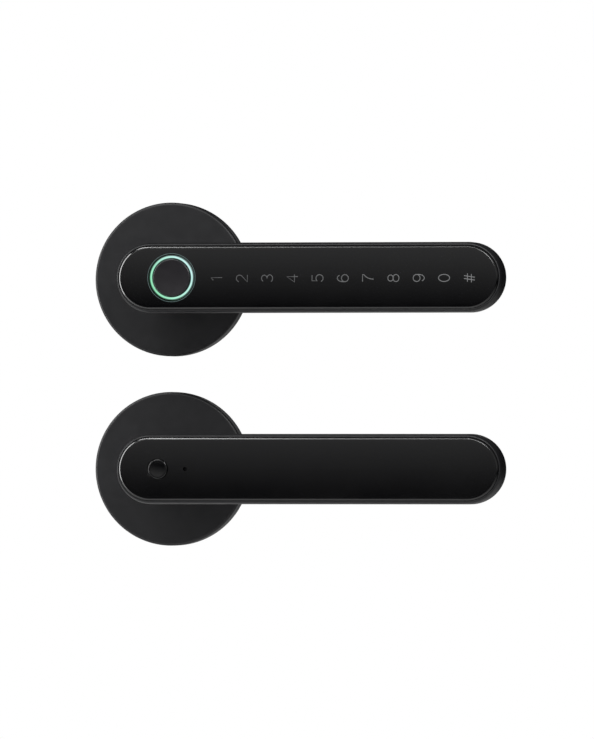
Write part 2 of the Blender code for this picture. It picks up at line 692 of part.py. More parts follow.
def battery_tray(lever):
    """Two bays end to end, each with two batteries side by side."""
    length = 2 * bay_length() + 3 * TRAY_WALL
    width = 2 * (BATTERY_DIAMETER + 2 * CELL_ROOM)
    depth = TRAY_WALL + CELL_ROOM + BATTERY_DIAMETER
    slab = box_mesh((length, width + 2 * TRAY_WALL, depth))
    spot = (TRAY_START + length / 2, 0, TRAY_BACK + depth / 2)
    tray = place("battery_tray", slab, LOOKS["black_plastic"], lever, spot)
    for bay in range(2):
        middle = bay_middle(bay)
        space = box_mesh((bay_length(), width, depth))
        cut(tray, tool(f"battery_bay_{bay + 1}", space, lever, (middle, 0, spot[2] + TRAY_WALL)))


def batteries(lever):
    """Four cells, each pair laid head to tail."""
    radius = BATTERY_DIAMETER / 2
    half = BATTERY_LENGTH / 2
    shoulder = half - BATTERY_NUB
    nub = BATTERY_NUB_RADIUS
    points = [(0, half), (nub, half), (nub, shoulder), (radius - GAP, shoulder), (radius, shoulder - GAP)]
    points += [(radius, -half), (0, -half)]
    offset = radius + CELL_ROOM
    for bay in range(2):
        for row, up in enumerate((offset, -offset)):
            turn = math.pi / 2 if row == 0 else -math.pi / 2
            spot = (bay_middle(bay), up, BATTERY_HEIGHT)
            name = f"battery_{2 * bay + row + 1}"
            turned(name, points, LOOKS["battery"], lever, CELL_SIDES, spot, (0, turn, 0))


def contact_plates(lever):
    reach = bay_length() / 2 - GAP - CONTACT_THICKNESS / 2
    width = 2 * BATTERY_DIAMETER
    for bay in range(2):
        for end, direction in enumerate((-1, 1)):
            plate = box_mesh((CONTACT_THICKNESS, width, BATTERY_DIAMETER - 2 * GAP))
            spot = (bay_middle(bay) + direction * reach, 0, BATTERY_HEIGHT)
            place(f"contact_plate_{2 * bay + end + 1}", plate, LOOKS["spring_steel"], lever, spot)


def privacy_button(lever):
    """Returns the height at which its switch stands clear of its full travel."""
    front = PANEL_FRONT + BUTTON_PROUD
    flange_front = LEDGE
    flange_back = flange_front - BUTTON_TRAVEL
    stem_back = flange_back - STEM_REACH
    cap = BUTTON_RADIUS
    stem = BUTTON_RADIUS / 2
    flange = BUTTON_RADIUS + BUTTON_FLANGE
    points = [(0, front), (cap - GAP, front), (cap, front - GAP), (cap, flange_front), (flange, flange_front)]
    points += [(flange, flange_back), (stem, flange_back), (stem, stem_back), (0, stem_back)]
    turned("privacy_button", points, LOOKS["satin_black"], lever, MEDIUM, (BUTTON_X, 0, 0))
    return stem_back - BUTTON_TRAVEL - GAP


def reset_plunger(lever):
    """Returns the height at which its switch stands clear of its full travel."""
    back = LEDGE - PLUNGER_LENGTH
    pin = rod_mesh(PINHOLE_RADIUS + 2 * GAP, back, LEDGE, SMALL)
    place("reset_plunger", pin, LOOKS["black_plastic"], lever, (PINHOLE_X, 0, 0))
    return back - PLUNGER_TRAVEL - GAP


def switch_board(lever):
    """The small board under the button and the pinhole, with a switch for each."""
    back = LEVER_INSIDE + SWITCH_BOARD_HEIGHT
    front = back + BOARD_THICKNESS
    points = [(0, front), (SWITCH_BOARD_RADIUS, front), (SWITCH_BOARD_RADIUS, back), (0, back)]
    board = stretched_mesh(points, SWITCH_BOARD_SPAN, OVAL_SMALL)
    place("switch_board", board, LOOKS["circuit_board"], lever)
    switches = (("privacy_switch", BUTTON_X, PRIVACY_SWITCH_SIDE, privacy_button(lever)),
                ("reset_switch", PINHOLE_X, RESET_SWITCH_SIDE, reset_plunger(lever)))
    for name, x, side, top in switches:
        low = front + GAP
        case = box_mesh((side, side, top - low))
        place(name, case, LOOKS["black_plastic"], lever, (x, 0, (low + top) / 2))
    cable_connector("inner_cable_connector", lever, INNER_CONNECTOR_X, front)


def make_looks():
    near_black = (0.010, 0.010, 0.011)
    return {
        "satin_black": material("satin black", near_black, 0.42, 0.6),
        "panel_glass": material("panel glass", (0.006, 0.006, 0.007), 0.18),
        "gloss_black": material("gloss black plastic", (0.006, 0.006, 0.007), 0.25),
        "sensor_cap": material("sensor cap", (0.018, 0.016, 0.019), 0.30),
        "light_ring": material("light ring", (0.25, 0.80, 0.50), 0.40),
        "zinc_steel": material("zinc plated steel", (0.55, 0.55, 0.53), 0.38, 1.0),
        "spring_steel": material("spring steel", (0.40, 0.40, 0.42), 0.35, 1.0),
        "bright_steel": material("bright steel", (0.70, 0.70, 0.70), 0.25, 1.0),
        "brass": material("brass", (0.70, 0.50, 0.20), 0.30, 1.0),
        "nylon": material("nylon", (0.75, 0.73, 0.66), 0.50),
        "rubber": material("rubber", (0.02, 0.02, 0.02), 0.80),
        "black_plastic": material("black plastic", (0.02, 0.02, 0.02), 0.50),
        "white_plastic": material("white plastic", (0.80, 0.78, 0.72), 0.45),
        "circuit_board": material("circuit board", (0.01, 0.12, 0.04), 0.45),
        "battery": material("battery sleeve", (0.02, 0.10, 0.05), 0.35),
    }


def shared_pieces(side, unit, lever, rim, bore):
    """Everything that both units have. Returns the pieces that are cut further."""
    rose_cover(side, unit, rim)
    plate = mounting_plate(side, unit)
    bearing_collar(side, unit)
    neck_bush(side, unit)
    return_spring(side, unit)
    cam_clip(side, lever)
    housing = lever_housing(side, lever)
    neck_part = neck(side, lever, bore)
    neck_nut(side, lever)
    return plate, housing, neck_part


def outer_unit():
    unit = axis_empty("outer_unit", None, (0, 0, 0), UPRIGHT)
    lever = axis_empty("outer_lever_axis", unit)
    plate, housing, neck_part = shared_pieces("outer", unit, lever, GASKET_THICKNESS + GAP, NECK_BORE)
    gasket(unit)
    fixing_posts(plate, unit)
    touch_panel(lever)
    fingerprint_reader(lever)
    keypad_board(lever)
    control_board(housing, lever)
    buzzer(lever)
    cable_connector("outer_cable_connector", lever, CONNECTOR_X, BOARD_FRONT)
    emergency_port(housing, lever)
    drive_socket(unit)
    clutch_pin(lever)
    clutch_spring(lever)
    clutch_motor(lever)


def inner_unit():
    unit = axis_empty("inner_unit", None, (0, 0, -UNIT_PITCH), UPRIGHT)
    lever = axis_empty("inner_lever_axis", unit)
    plate, housing, neck_part = shared_pieces("inner", unit, lever, 0, CABLE_BORE)
    fixing_screws(plate, unit)
    spindle(neck_part, lever)
    battery_cover(lever)
    battery_tray(lever)
    batteries(lever)
    contact_plates(lever)
    switch_board(lever)


UPRIGHT = (math.pi / 2, 0, 0)
clear_scene()
PARTS = collection("keypad lever lock")
CUTTERS = collection("cutters")
LOOKS = make_looks()
outer_unit()
inner_unit()
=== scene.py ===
"""Keypad lever lock: the pieces and finishes that are seen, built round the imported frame.

Each unit is worked on in its own frame: X right along the lever, Y up, Z out from the door.
"""

import math

import bmesh
import bpy
from bpy.props import FloatProperty, FloatVectorProperty, IntProperty, PointerProperty
from mathutils import Matrix, Vector


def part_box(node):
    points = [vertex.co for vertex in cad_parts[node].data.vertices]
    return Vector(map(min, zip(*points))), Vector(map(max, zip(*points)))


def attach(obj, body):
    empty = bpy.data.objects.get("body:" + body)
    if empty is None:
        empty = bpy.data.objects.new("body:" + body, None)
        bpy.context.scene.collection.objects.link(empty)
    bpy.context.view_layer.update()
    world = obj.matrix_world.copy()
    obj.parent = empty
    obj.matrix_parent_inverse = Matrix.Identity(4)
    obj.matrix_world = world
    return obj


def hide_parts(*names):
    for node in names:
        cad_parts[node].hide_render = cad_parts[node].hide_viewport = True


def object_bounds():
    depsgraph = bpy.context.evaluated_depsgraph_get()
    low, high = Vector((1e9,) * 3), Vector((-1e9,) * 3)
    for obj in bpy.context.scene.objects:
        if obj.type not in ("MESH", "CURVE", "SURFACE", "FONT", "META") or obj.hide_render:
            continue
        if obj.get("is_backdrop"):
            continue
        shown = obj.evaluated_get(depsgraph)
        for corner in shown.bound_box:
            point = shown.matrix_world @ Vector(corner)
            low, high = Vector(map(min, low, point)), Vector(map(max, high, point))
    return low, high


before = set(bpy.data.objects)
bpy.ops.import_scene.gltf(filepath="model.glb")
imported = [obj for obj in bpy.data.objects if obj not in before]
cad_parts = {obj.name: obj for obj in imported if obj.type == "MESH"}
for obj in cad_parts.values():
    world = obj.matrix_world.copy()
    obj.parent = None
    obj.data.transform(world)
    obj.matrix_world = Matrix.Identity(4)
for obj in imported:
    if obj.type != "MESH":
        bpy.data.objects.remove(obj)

bl_info = {
    "name": "Keypad lever lock",
    "version": (1, 0, 0),
    "blender": (4, 5, 0),
    "location": "3D View > Sidebar > Lock",
    "description": "Builds the visible pieces of a keypad lever lock round its frame",
    "category": "Object",
}

MERGE = 0.000005             # points closer than this are one
GAP = 0.0003                 # between neighbouring pieces, as in the frame
SHARP = math.radians(38)     # a crease over this shows as an edge
FINE = 128                   # facets round a rose
MEDIUM = 96
SMALL = 40
TINY = 24
OVAL = 126                   # has no corner on the middle line, and one at each tip
UPRIGHT = Matrix.Rotation(math.pi / 2, 4, "X")
NOISE_LOW, NOISE_HIGH = 0.3, 0.7    # nearly all of a noise texture's values lie between these
WHITE = (1, 1, 1, 1)
LAMP_TARGET = (0.05, -0.03, -0.04)  # every lamp points at the middle of the lock
FLOOR_REACH = 1.6
FLOOR_DROP = 0.136                  # from the lock's lowest point down to the floor


def linear(colour):
    """An sRGB hex colour as the linear colour that the shaders take."""
    shares = [int(colour[place:place + 2], 16) / 255 for place in (1, 3, 5)]
    shares = [share / 12.92 if share <= 0.04045 else ((share + 0.055) / 1.055) ** 2.4 for share in shares]
    return (*shares, 1.0)


# Places and sizes that the frame gives

def unit_frame(side):
    """A unit's own frame: its origin on the door's face, on the lever's axis."""
    low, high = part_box(side + "_rose_cover")
    return Matrix.Translation((0, 0, (low.z + high.z) / 2)) @ UPRIGHT


UNITS = {"outer": unit_frame("outer"), "inner": unit_frame("inner")}


class Reach:
    """How far a CAD node reaches in its unit's frame."""

    def __init__(self, node, side):
        low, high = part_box(node)
        rise = UNITS[side].translation.z
        self.left, self.right = low.x, high.x
        self.bottom, self.top = low.z - rise, high.z - rise
        self.back, self.front = -high.y, -low.y
        self.x = (self.left + self.right) / 2
        self.y = (self.bottom + self.top) / 2
        self.radius = (self.right - self.left) / 2
        self.height = (self.top - self.bottom) / 2


# Shapes

def turn(section, steps=MEDIUM):
    """Spin (radius, height) points about Z; the section closes itself where it stays off the axis."""
    work = bmesh.new()
    verts = [work.verts.new((radius, 0, height)) for radius, height in section]
    for first, second in zip(verts, verts[1:]):
        work.edges.new((first, second))
    if min(radius for radius, height in section) > 0:
        work.edges.new((verts[-1], verts[0]))
    bmesh.ops.spin(work, geom=work.verts[:] + work.edges[:], cent=(0, 0, 0), axis=(0, 0, 1),
                   angle=math.tau, steps=steps, use_merge=True)
    return tidy(work)


def tidy(work):
    bmesh.ops.remove_doubles(work, verts=work.verts, dist=MERGE)
    bmesh.ops.recalc_face_normals(work, faces=work.faces)
    return work


def pull(work, span):
    """Pull the right half along X, which makes a round shape a long oval."""
    bmesh.ops.translate(work, vec=(span, 0, 0), verts=[vert for vert in work.verts if vert.co.x > MERGE])
    return work


def soften(work, radius, segments=2, angle=math.radians(50), chosen=None):
    """Round the sharp edges, or those whose middle point is chosen."""
    edges = [edge for edge in work.edges if edge.is_manifold and edge.calc_face_angle() > angle
             and (chosen is None or chosen((edge.verts[0].co + edge.verts[1].co) / 2))]
    bmesh.ops.bevel(work, geom=edges, offset=radius, offset_type="OFFSET", segments=segments,
                    profile=0.5, affect="EDGES", clamp_overlap=True, material=-1)
    return work


def quarter(radius, height, across, along, start, end, count):
    """Points on a quarter of an ellipse round a section's corner."""
    angles = [start + (end - start) * step / count for step in range(count + 1)]
    return [(radius + across * math.cos(angle), height + along * math.sin(angle)) for angle in angles]


def rod(radius, low, high, steps=SMALL, x=0.0, y=0.0):
    work = turn([(0, high), (radius, high), (radius, low), (0, low)], steps)
    return move(work, (x, y, 0))


def move(work, offset):
    bmesh.ops.translate(work, vec=offset, verts=work.verts)
    return work


def lay(work, angle, axis):
    bmesh.ops.rotate(work, cent=(0, 0, 0), matrix=Matrix.Rotation(angle, 3, axis), verts=work.verts)
    return work


def slab(left, right, bottom, top, back, front):
    work = bmesh.new()
    bmesh.ops.create_cube(work, size=1.0)
    bmesh.ops.scale(work, vec=(right - left, top - bottom, front - back), verts=work.verts)
    return move(work, ((left + right) / 2, (bottom + top) / 2, (back + front) / 2))


def thread(core, crest, low, high, pitch, steps=TINY):
    """A screw thread's ridge: one triangle wound round Z from low to high.

    An inner thread has its crest inside.
    """
    work = bmesh.new()
    half = pitch * 0.42
    points = [(core, low), (crest, low + half), (core, low + 2 * half)]
    face = work.faces.new([work.verts.new((radius, 0, height)) for radius, height in points])
    turns = (high - low - 2 * half) / pitch
    count = int(turns * steps)
    bmesh.ops.spin(work, geom=[face], cent=(0, 0, 0), axis=(0, 0, 1), dvec=(0, 0, pitch / steps),
                   angle=math.tau * count / steps, steps=count)
    bmesh.ops.recalc_face_normals(work, faces=work.faces)
    return work


def to_mesh(work, name="shape"):
    mesh = bpy.data.meshes.new(name)
    work.to_mesh(mesh)
    work.free()
    return mesh


def combine(*works):
    """Put several shapes into one."""
    whole = bmesh.new()
    for work in works:
        mesh = to_mesh(work)
        whole.from_mesh(mesh)
        bpy.data.meshes.remove(mesh)
    return whole


def carve(work, *cutters, operation="DIFFERENCE"):
    """Cut shapes out of a shape, or join them to it."""
    body = bpy.data.objects.new("body", to_mesh(work))
    bpy.context.scene.collection.objects.link(body)
    others = []
    for cutter in cutters:
        other = bpy.data.objects.new("cutter", to_mesh(cutter))
        bpy.context.scene.collection.objects.link(other)
        change = body.modifiers.new("change", "BOOLEAN")
        change.operation = operation
        change.solver = "EXACT"
        change.object = other
        others.append(other)
    evaluated = body.evaluated_get(bpy.context.evaluated_depsgraph_get())
    result = bmesh.new()
    result.from_mesh(evaluated.data)
    for spare in [body] + others:
        mesh = spare.data
        bpy.data.objects.remove(spare)
        bpy.data.meshes.remove(mesh)
    return result


def piece(name, work, side, body, look, nodes=(), paint=None):
    """Put a shape in its place as a piece that rides on a body.

    paint gives a face's place in the list of looks.
    """
    bmesh.ops.transform(work, matrix=UNITS[side], verts=work.verts)
    made = bpy.data.objects.new(name, to_mesh(work, name))
    bpy.context.scene.collection.objects.link(made)
    looks = look if isinstance(look, (list, tuple)) else [look]
    for each in looks:
        made.data.materials.append(LOOKS[each])
    if paint:
        inverse = UNITS[side].inverted()
        for face in made.data.polygons:
            face.material_index = paint(inverse @ face.center)
    made.data.shade_smooth()
    made.data.set_sharp_from_angle(angle=SHARP)
    even = made.modifiers.new("even shading", "WEIGHTED_NORMAL")
    even.keep_sharp = True
    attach(made, body)
    if nodes:
        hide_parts(*nodes)
    return made


def refinish(look, *nodes):
    """Give CAD nodes whose shape stays a finish."""
    for node in nodes:
        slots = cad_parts[node].data.materials
        slots.clear()
        slots.append(LOOKS[look])


# Finishes

LOOKS = {}


def add(tree, kind, sockets=None, **settings):
    """Add a node: settings are its own, sockets are its inputs, each a value or another node's output."""
    made = tree.nodes.new(kind)
    for name, value in settings.items():
        setattr(made, name, value)
    for name, value in (sockets or {}).items():
        if isinstance(value, bpy.types.NodeSocket):
            tree.links.new(value, made.inputs[name])
        else:
            made.inputs[name].default_value = value
    return made


def blank(key, name):
    look = bpy.data.materials.new(name)
    look.use_nodes = True
    look.node_tree.nodes.clear()
    LOOKS[key] = look
    tree = look.node_tree
    return tree, add(tree, "ShaderNodeTexCoord").outputs["Object"]


def grained(key, name, dark, light, roughness, spread, grain, depth, mottle=0.004, stretch=(1, 1, 1),
            metallic=0.0, ior=1.5, coat=0.0):
    """A surface whose tone drifts slowly, and whose gloss and level follow a fine grain, in metres."""
    tree, place = blank(key, name)
    place = add(tree, "ShaderNodeMapping", {"Vector": place, "Scale": stretch}).outputs[0]
    slow = add(tree, "ShaderNodeTexNoise", {"Vector": place, "Scale": 1 / mottle, "Detail": 3.0})
    fine = add(tree, "ShaderNodeTexNoise", {"Vector": place, "Scale": 1 / grain, "Detail": 2.0})
    tone = add(tree, "ShaderNodeMix", {0: slow.outputs["Fac"], 6: linear(dark), 7: linear(light)},
               data_type="RGBA")
    gloss = add(tree, "ShaderNodeMapRange", {"Value": slow.outputs["Fac"], "From Min": NOISE_LOW,
                                             "From Max": NOISE_HIGH,
                                             "To Min": roughness - spread,
                                             "To Max": roughness + spread})
    level = add(tree, "ShaderNodeBump", {"Height": fine.outputs["Fac"], "Strength": 1.0, "Distance": depth})
    sockets = {"Base Color": tone.outputs[2], "Roughness": gloss.outputs[0], "Normal": level.outputs[0],
               "Metallic": metallic, "Coat Weight": coat, "Coat Roughness": 0.06}
    if not metallic:
        sockets["IOR"] = ior
    shader = add(tree, "ShaderNodeBsdfPrincipled", sockets)
    add(tree, "ShaderNodeOutputMaterial", {"Surface": shader.outputs[0]})


def light_guide(colours):
    """Lit polycarbonate light guide: an even glow that turns from green at lower left to aqua at right."""
    tree, place = blank("light_guide", "lit polycarbonate light guide")
    reach = Reach("light_ring", "outer")
    centred = add(tree, "ShaderNodeVectorMath", {0: place, 1: (reach.x, 0, reach.y)}, operation="SUBTRACT")
    across = add(tree, "ShaderNodeVectorMath", {0: centred.outputs[0], 1: (0.86, 0, 0.5)},
                 operation="DOT_PRODUCT")
    share = add(tree, "ShaderNodeMapRange", {"Value": across.outputs["Value"], "From Min": -reach.radius,
                                             "From Max": reach.radius, "To Min": 0.0, "To Max": 1.0})
    outward = add(tree, "ShaderNodeVectorMath", {0: centred.outputs[0], 1: (1, 0, 1)}, operation="MULTIPLY")
    radius = add(tree, "ShaderNodeVectorMath", {0: outward.outputs[0]}, operation="LENGTH")
    crest = reach.radius - 0.00075
    off = add(tree, "ShaderNodeMath", {0: radius.outputs["Value"], 1: crest}, operation="SUBTRACT")
    aside = add(tree, "ShaderNodeMath", {0: off.outputs[0]}, operation="ABSOLUTE")
    core = add(tree, "ShaderNodeMapRange", {"Value": aside.outputs[0], "From Min": 0.00022,
                                            "From Max": 0.00052, "To Min": 1.0, "To Max": 0.07},
               interpolation_type="SMOOTHSTEP")
    spots = add(tree, "ShaderNodeTexNoise", {"Vector": place, "Scale": 1 / 0.004, "Detail": 1.0})
    glow = add(tree, "ShaderNodeMix", {0: share.outputs[0], 6: (*colours.ring_left, 1),
                                       7: (*colours.ring_right, 1)}, data_type="RGBA")
    even = add(tree, "ShaderNodeMapRange", {"Value": spots.outputs["Fac"], "From Min": NOISE_LOW,
                                            "From Max": NOISE_HIGH, "To Min": 0.92, "To Max": 1.08})
    strength = add(tree, "ShaderNodeMath", {0: core.outputs[0], 1: even.outputs[0]}, operation="MULTIPLY")
    shader = add(tree, "ShaderNodeBsdfPrincipled", {
        "Base Color": linear("#14302a"), "Roughness": 0.35, "IOR": 1.58,
        "Emission Color": glow.outputs[2], "Emission Strength": strength.outputs[0]})
    add(tree, "ShaderNodeOutputMaterial", {"Surface": shader.outputs[0]})


def lit_legend(colours):
    """Digits left clear in the window's black print: a dim white light from behind, stronger to the right."""
    tree, place = blank("legend", "backlit print window")
    reach = Reach("keypad_board", "outer")
    x = add(tree, "ShaderNodeSeparateXYZ", {0: place}).outputs["X"]
    glow = add(tree, "ShaderNodeMapRange", {"Value": x, "From Min": reach.left, "From Max": reach.right,
                                            "To Min": 0.14, "To Max": 0.52})
    speck = add(tree, "ShaderNodeTexNoise", {"Vector": place, "Scale": 1 / 0.0006, "Detail": 2.0})
    tone = add(tree, "ShaderNodeMix", {0: speck.outputs["Fac"], 6: linear("#232324"), 7: linear("#2b2c2d")},
               data_type="RGBA")
    shader = add(tree, "ShaderNodeBsdfPrincipled", {
        "Base Color": tone.outputs[2], "Roughness": 0.4, "IOR": 1.5,
        "Emission Color": (*colours.legend, 1), "Emission Strength": glow.outputs[0]})
    add(tree, "ShaderNodeOutputMaterial", {"Surface": shader.outputs[0]})


def painted_ring_glint(colours):
    """A painted glint: the ring's light caught on the edge of the window's hole, drawn as a faint, slightly
    uneven glowing line.
    """
    tree, place = blank("outline", "painted glint of the ring's light on the window's hole edge")
    speck = add(tree, "ShaderNodeTexNoise", {"Vector": place, "Scale": 1 / 0.0008, "Detail": 2.0})
    tone = add(tree, "ShaderNodeMix", {0: speck.outputs["Fac"], 6: linear("#16201f"), 7: linear("#1d2a28")},
               data_type="RGBA")
    # Painted glint: the line glows in the ring's colour, standing in for the ring's light on the hole's edge
    glow = add(tree, "ShaderNodeMapRange", {"Value": speck.outputs["Fac"], "From Min": NOISE_LOW,
                                            "From Max": NOISE_HIGH, "To Min": 0.13, "To Max": 0.19})
    shader = add(tree, "ShaderNodeBsdfPrincipled", {
        "Base Color": tone.outputs[2], "Roughness": 0.4, "IOR": 1.5,
        "Emission Color": (*colours.ring_right, 1), "Emission Strength": glow.outputs[0]})
    add(tree, "ShaderNodeOutputMaterial", {"Surface": shader.outputs[0]})


def circuit_board():
    """Green solder mask on glass-epoxy board: darker channels between raised copper runs."""
    tree, place = blank("circuit_board", "solder mask on glass epoxy")
    runs = add(tree, "ShaderNodeTexVoronoi", {"Vector": place, "Scale": 1 / 0.0022, "Randomness": 0.55},
               distance="CHEBYCHEV", feature="F1")
    track = add(tree, "ShaderNodeMath", {0: runs.outputs["Distance"], 1: 0.45}, operation="GREATER_THAN")
    weave = add(tree, "ShaderNodeTexNoise", {"Vector": place, "Scale": 1 / 0.0004, "Detail": 2.0})
    tone = add(tree, "ShaderNodeMix", {0: track.outputs[0], 6: linear("#0c4a27"), 7: linear("#176b3a")},
               data_type="RGBA")
    raised = add(tree, "ShaderNodeMath", {0: track.outputs[0], 1: weave.outputs["Fac"]}, operation="ADD")
    level = add(tree, "ShaderNodeBump", {"Height": raised.outputs[0], "Strength": 0.6, "Distance": 0.00003})
    shader = add(tree, "ShaderNodeBsdfPrincipled", {
        "Base Color": tone.outputs[2], "Roughness": 0.32, "IOR": 1.54, "Normal": level.outputs[0]})
    add(tree, "ShaderNodeOutputMaterial", {"Surface": shader.outputs[0]})


def floor_paint(reach):
    """Matt white studio paint that thins out to the white of the background at its rim."""
    tree, place = blank("floor", "matt white studio paint")
    distance = add(tree, "ShaderNodeVectorMath", {0: place}, operation="LENGTH")
    cover = add(tree, "ShaderNodeMapRange", {"Value": distance.outputs["Value"], "From Min": reach * 0.2,
                                             "From Max": reach * 0.9, "To Min": 1.0, "To Max": 0.0},
                interpolation_type="SMOOTHSTEP")
    speck = add(tree, "ShaderNodeTexNoise", {"Vector": place, "Scale": 1 / 0.02, "Detail": 3.0})
    tone = add(tree, "ShaderNodeMix", {0: speck.outputs["Fac"], 6: linear("#e6e6e6"), 7: linear("#ebebeb")},
               data_type="RGBA")
    shader = add(tree, "ShaderNodeBsdfPrincipled", {
        "Base Color": tone.outputs[2], "Roughness": 0.7, "IOR": 1.45, "Alpha": cover.outputs[0]})
    add(tree, "ShaderNodeOutputMaterial", {"Surface": shader.outputs[0]})


def make_finishes(colours):
    # Satin electro-coat on die-cast zinc: deep neutral black with a soft, slightly uneven sheen
    grained("satin_coat", "satin black electro-coat", "#101012", "#141416", 0.45, 0.03, 0.00025, 0.000004,
            ior=1.4)
    # Hard-coated polycarbonate over black print: near black, with a smooth soft gloss
    grained("window", "hard-coated black window", "#030304", "#040405", 0.13, 0.02, 0.0012, 0.0000010,
            mottle=0.02, ior=1.58)
    # Moulded and polished black cover: the same tone, a little less gloss
    grained("lid", "polished black moulding", "#030304", "#040405", 0.14, 0.02, 0.0010, 0.0000010,
            mottle=0.02, ior=1.55)
    # Dark oleophobic coating on the sensor's cap: smoky, with a trace of violet
    grained("sensor_coat", "dark sensor coating", "#121013", "#161418", 0.30, 0.03, 0.0004, 0.000002)
    # Bright zinc plating on steel: cool light grey, finely speckled
    grained("zinc_plate", "bright zinc plate", "#a7abb0", "#c6c8ca", 0.30, 0.04, 0.0003, 0.0000015,
            mottle=0.0015, metallic=1.0)
    # Cold-drawn and plated bar: the same plating with fine lines along the bar
    grained("drawn_bar", "zinc plated drawn bar", "#9fa3a8", "#c2c4c6", 0.32, 0.05, 0.0003, 0.000008,
            mottle=0.0012, stretch=(1, 0.05, 1), metallic=1.0)
    # Hardened spring steel: darker, with a drawn sheen
    grained("spring_steel", "drawn spring steel", "#85878b", "#9b9da1", 0.28, 0.05, 0.0002, 0.000004,
            mottle=0.001, metallic=1.0)
    # Nickel plate on the port's shell and the motor's can: smooth and bright
    grained("nickel", "nickel plate", "#c3bfb8", "#d2cec7", 0.20, 0.04, 0.0005, 0.000002,
            mottle=0.003, metallic=1.0)
    # Free-cutting brass: warm yellow, finely turned
    grained("brass", "turned brass", "#b58f4a", "#cba65c", 0.28, 0.05, 0.0002, 0.000005,
            mottle=0.001, stretch=(0.1, 1, 0.1), metallic=1.0)
    # Gold flash on the port's contacts
    grained("gold", "gold flash", "#d0a650", "#e0ba66", 0.25, 0.04, 0.0003, 0.000001, metallic=1.0)
    # Natural nylon: milky, waxy off-white
    grained("nylon", "natural nylon", "#dcd8ca", "#e6e3d8", 0.45, 0.05, 0.0008, 0.00001)
    # Moulded neoprene foam skin: matt, dusty black
    grained("rubber", "moulded rubber", "#1a1a1a", "#242424", 0.80, 0.06, 0.0003, 0.00002)
    # Spark-eroded ABS moulding: dark grey-black with a fine even texture
    grained("black_abs", "textured black ABS", "#17171a", "#1e1e21", 0.52, 0.05, 0.00035, 0.000015)
    # Glass-filled nylon connector moulding: ivory, slightly mottled
    grained("ivory", "ivory connector moulding", "#e3dcc8", "#ece7d8", 0.48, 0.05, 0.0006, 0.00001)
    # Shrink sleeve round a cell: glossy printed film
    grained("sleeve", "printed shrink sleeve", "#0f3d2c", "#12472f", 0.28, 0.03, 0.002, 0.000006,
            mottle=0.01, ior=1.54)
    # The sleeve's printed band at its positive end
    grained("sleeve_band", "copper printed film", "#b0713f", "#c08050", 0.30, 0.03, 0.002, 0.000004,
            mottle=0.01, metallic=1.0)
    # Fired ceramic and epoxy bodies of the small components
    grained("component", "black epoxy body", "#141415", "#1c1c1e", 0.45, 0.05, 0.0003, 0.00001)
    circuit_board()
    light_guide(colours)
    lit_legend(colours)
    painted_ring_glint(colours)


# Settings that a user would change

class LockSizes(bpy.types.PropertyGroup):
    rose_wall: FloatProperty(name="Rose wall", description="Thickness of the rose cover's sheet",
                             default=0.0015, min=0.0005, max=0.004, unit="LENGTH", precision=5)
    rose_edge: FloatProperty(name="Rose edge", description="Rounding of the rose cover's front edge",
                             default=0.0012, min=0.0002, max=0.004, unit="LENGTH", precision=5)
    lever_wall: FloatProperty(name="Lever wall", description="Thickness of the lever housing's side",
                              default=0.0028, min=0.001, max=0.005, unit="LENGTH", precision=5)
    lever_floor: FloatProperty(name="Lever floor", description="Thickness of the lever housing's back",
                               default=0.0020, min=0.001, max=0.005, unit="LENGTH", precision=5)
    lever_back_round: FloatProperty(name="Lever back edge", description="Rounding of the lever's back edge",
                                    default=0.0050, min=0.001, max=0.008, unit="LENGTH", precision=5)
    lever_front_round: FloatProperty(name="Lever front edge", description="Depth of the front edge's curve",
                                     default=0.0039, min=0.001, max=0.006, unit="LENGTH", precision=5)
    lever_lip: FloatProperty(name="Lever lip", description="How far the front edge draws in",
                             default=0.0011, min=0.0005, max=0.003, unit="LENGTH", precision=5)
    panel_crown: FloatProperty(name="Panel crown", description="Height of the front panels' crown",
                               default=0.0004, min=0.0, max=0.0005, unit="LENGTH", precision=5)
    panel_chamfer: FloatProperty(name="Panel chamfer", description="Width of the front panels' chamfer",
                                 default=0.0007, min=0.0001, max=0.001, unit="LENGTH", precision=5)
    digit_line: FloatProperty(name="Digit line", description="Width of the line that draws a digit",
                              default=0.00034, min=0.0002, max=0.001, unit="LENGTH", precision=5)
    digit_pitch: FloatProperty(name="Digit pitch", description="Distance between two digits",
                               default=0.01085, min=0.006, max=0.0125, unit="LENGTH", precision=5)
    digit_start: FloatProperty(name="First digit", description="First digit's distance from the lever's axis",
                               default=0.0289, min=0.02, max=0.03, unit="LENGTH", precision=5)
    thread_pitch: FloatProperty(name="Thread pitch", description="Pitch of the fixing screws' thread",
                                default=0.0007, min=0.0003, max=0.0015, unit="LENGTH", precision=5)
    snap_grooves: IntProperty(name="Snap grooves", description="Grooves where the spindle can be shortened",
                              default=6, min=0, max=12)


class LockColours(bpy.types.PropertyGroup):
    legend: FloatVectorProperty(name="Digits", description="Light behind the digits", subtype="COLOR", size=3,
                                default=linear("#8c8d8e")[:3], min=0.0, max=1.0)
    ring_left: FloatVectorProperty(name="Ring, lower left", description="Light ring at its lower left",
                                   subtype="COLOR", size=3, default=linear("#86e0ac")[:3], min=0.0, max=1.0)
    ring_right: FloatVectorProperty(name="Ring, upper right", description="Light ring at its upper right",
                                    subtype="COLOR", size=3, default=linear("#cdf5f4")[:3], min=0.0, max=1.0)


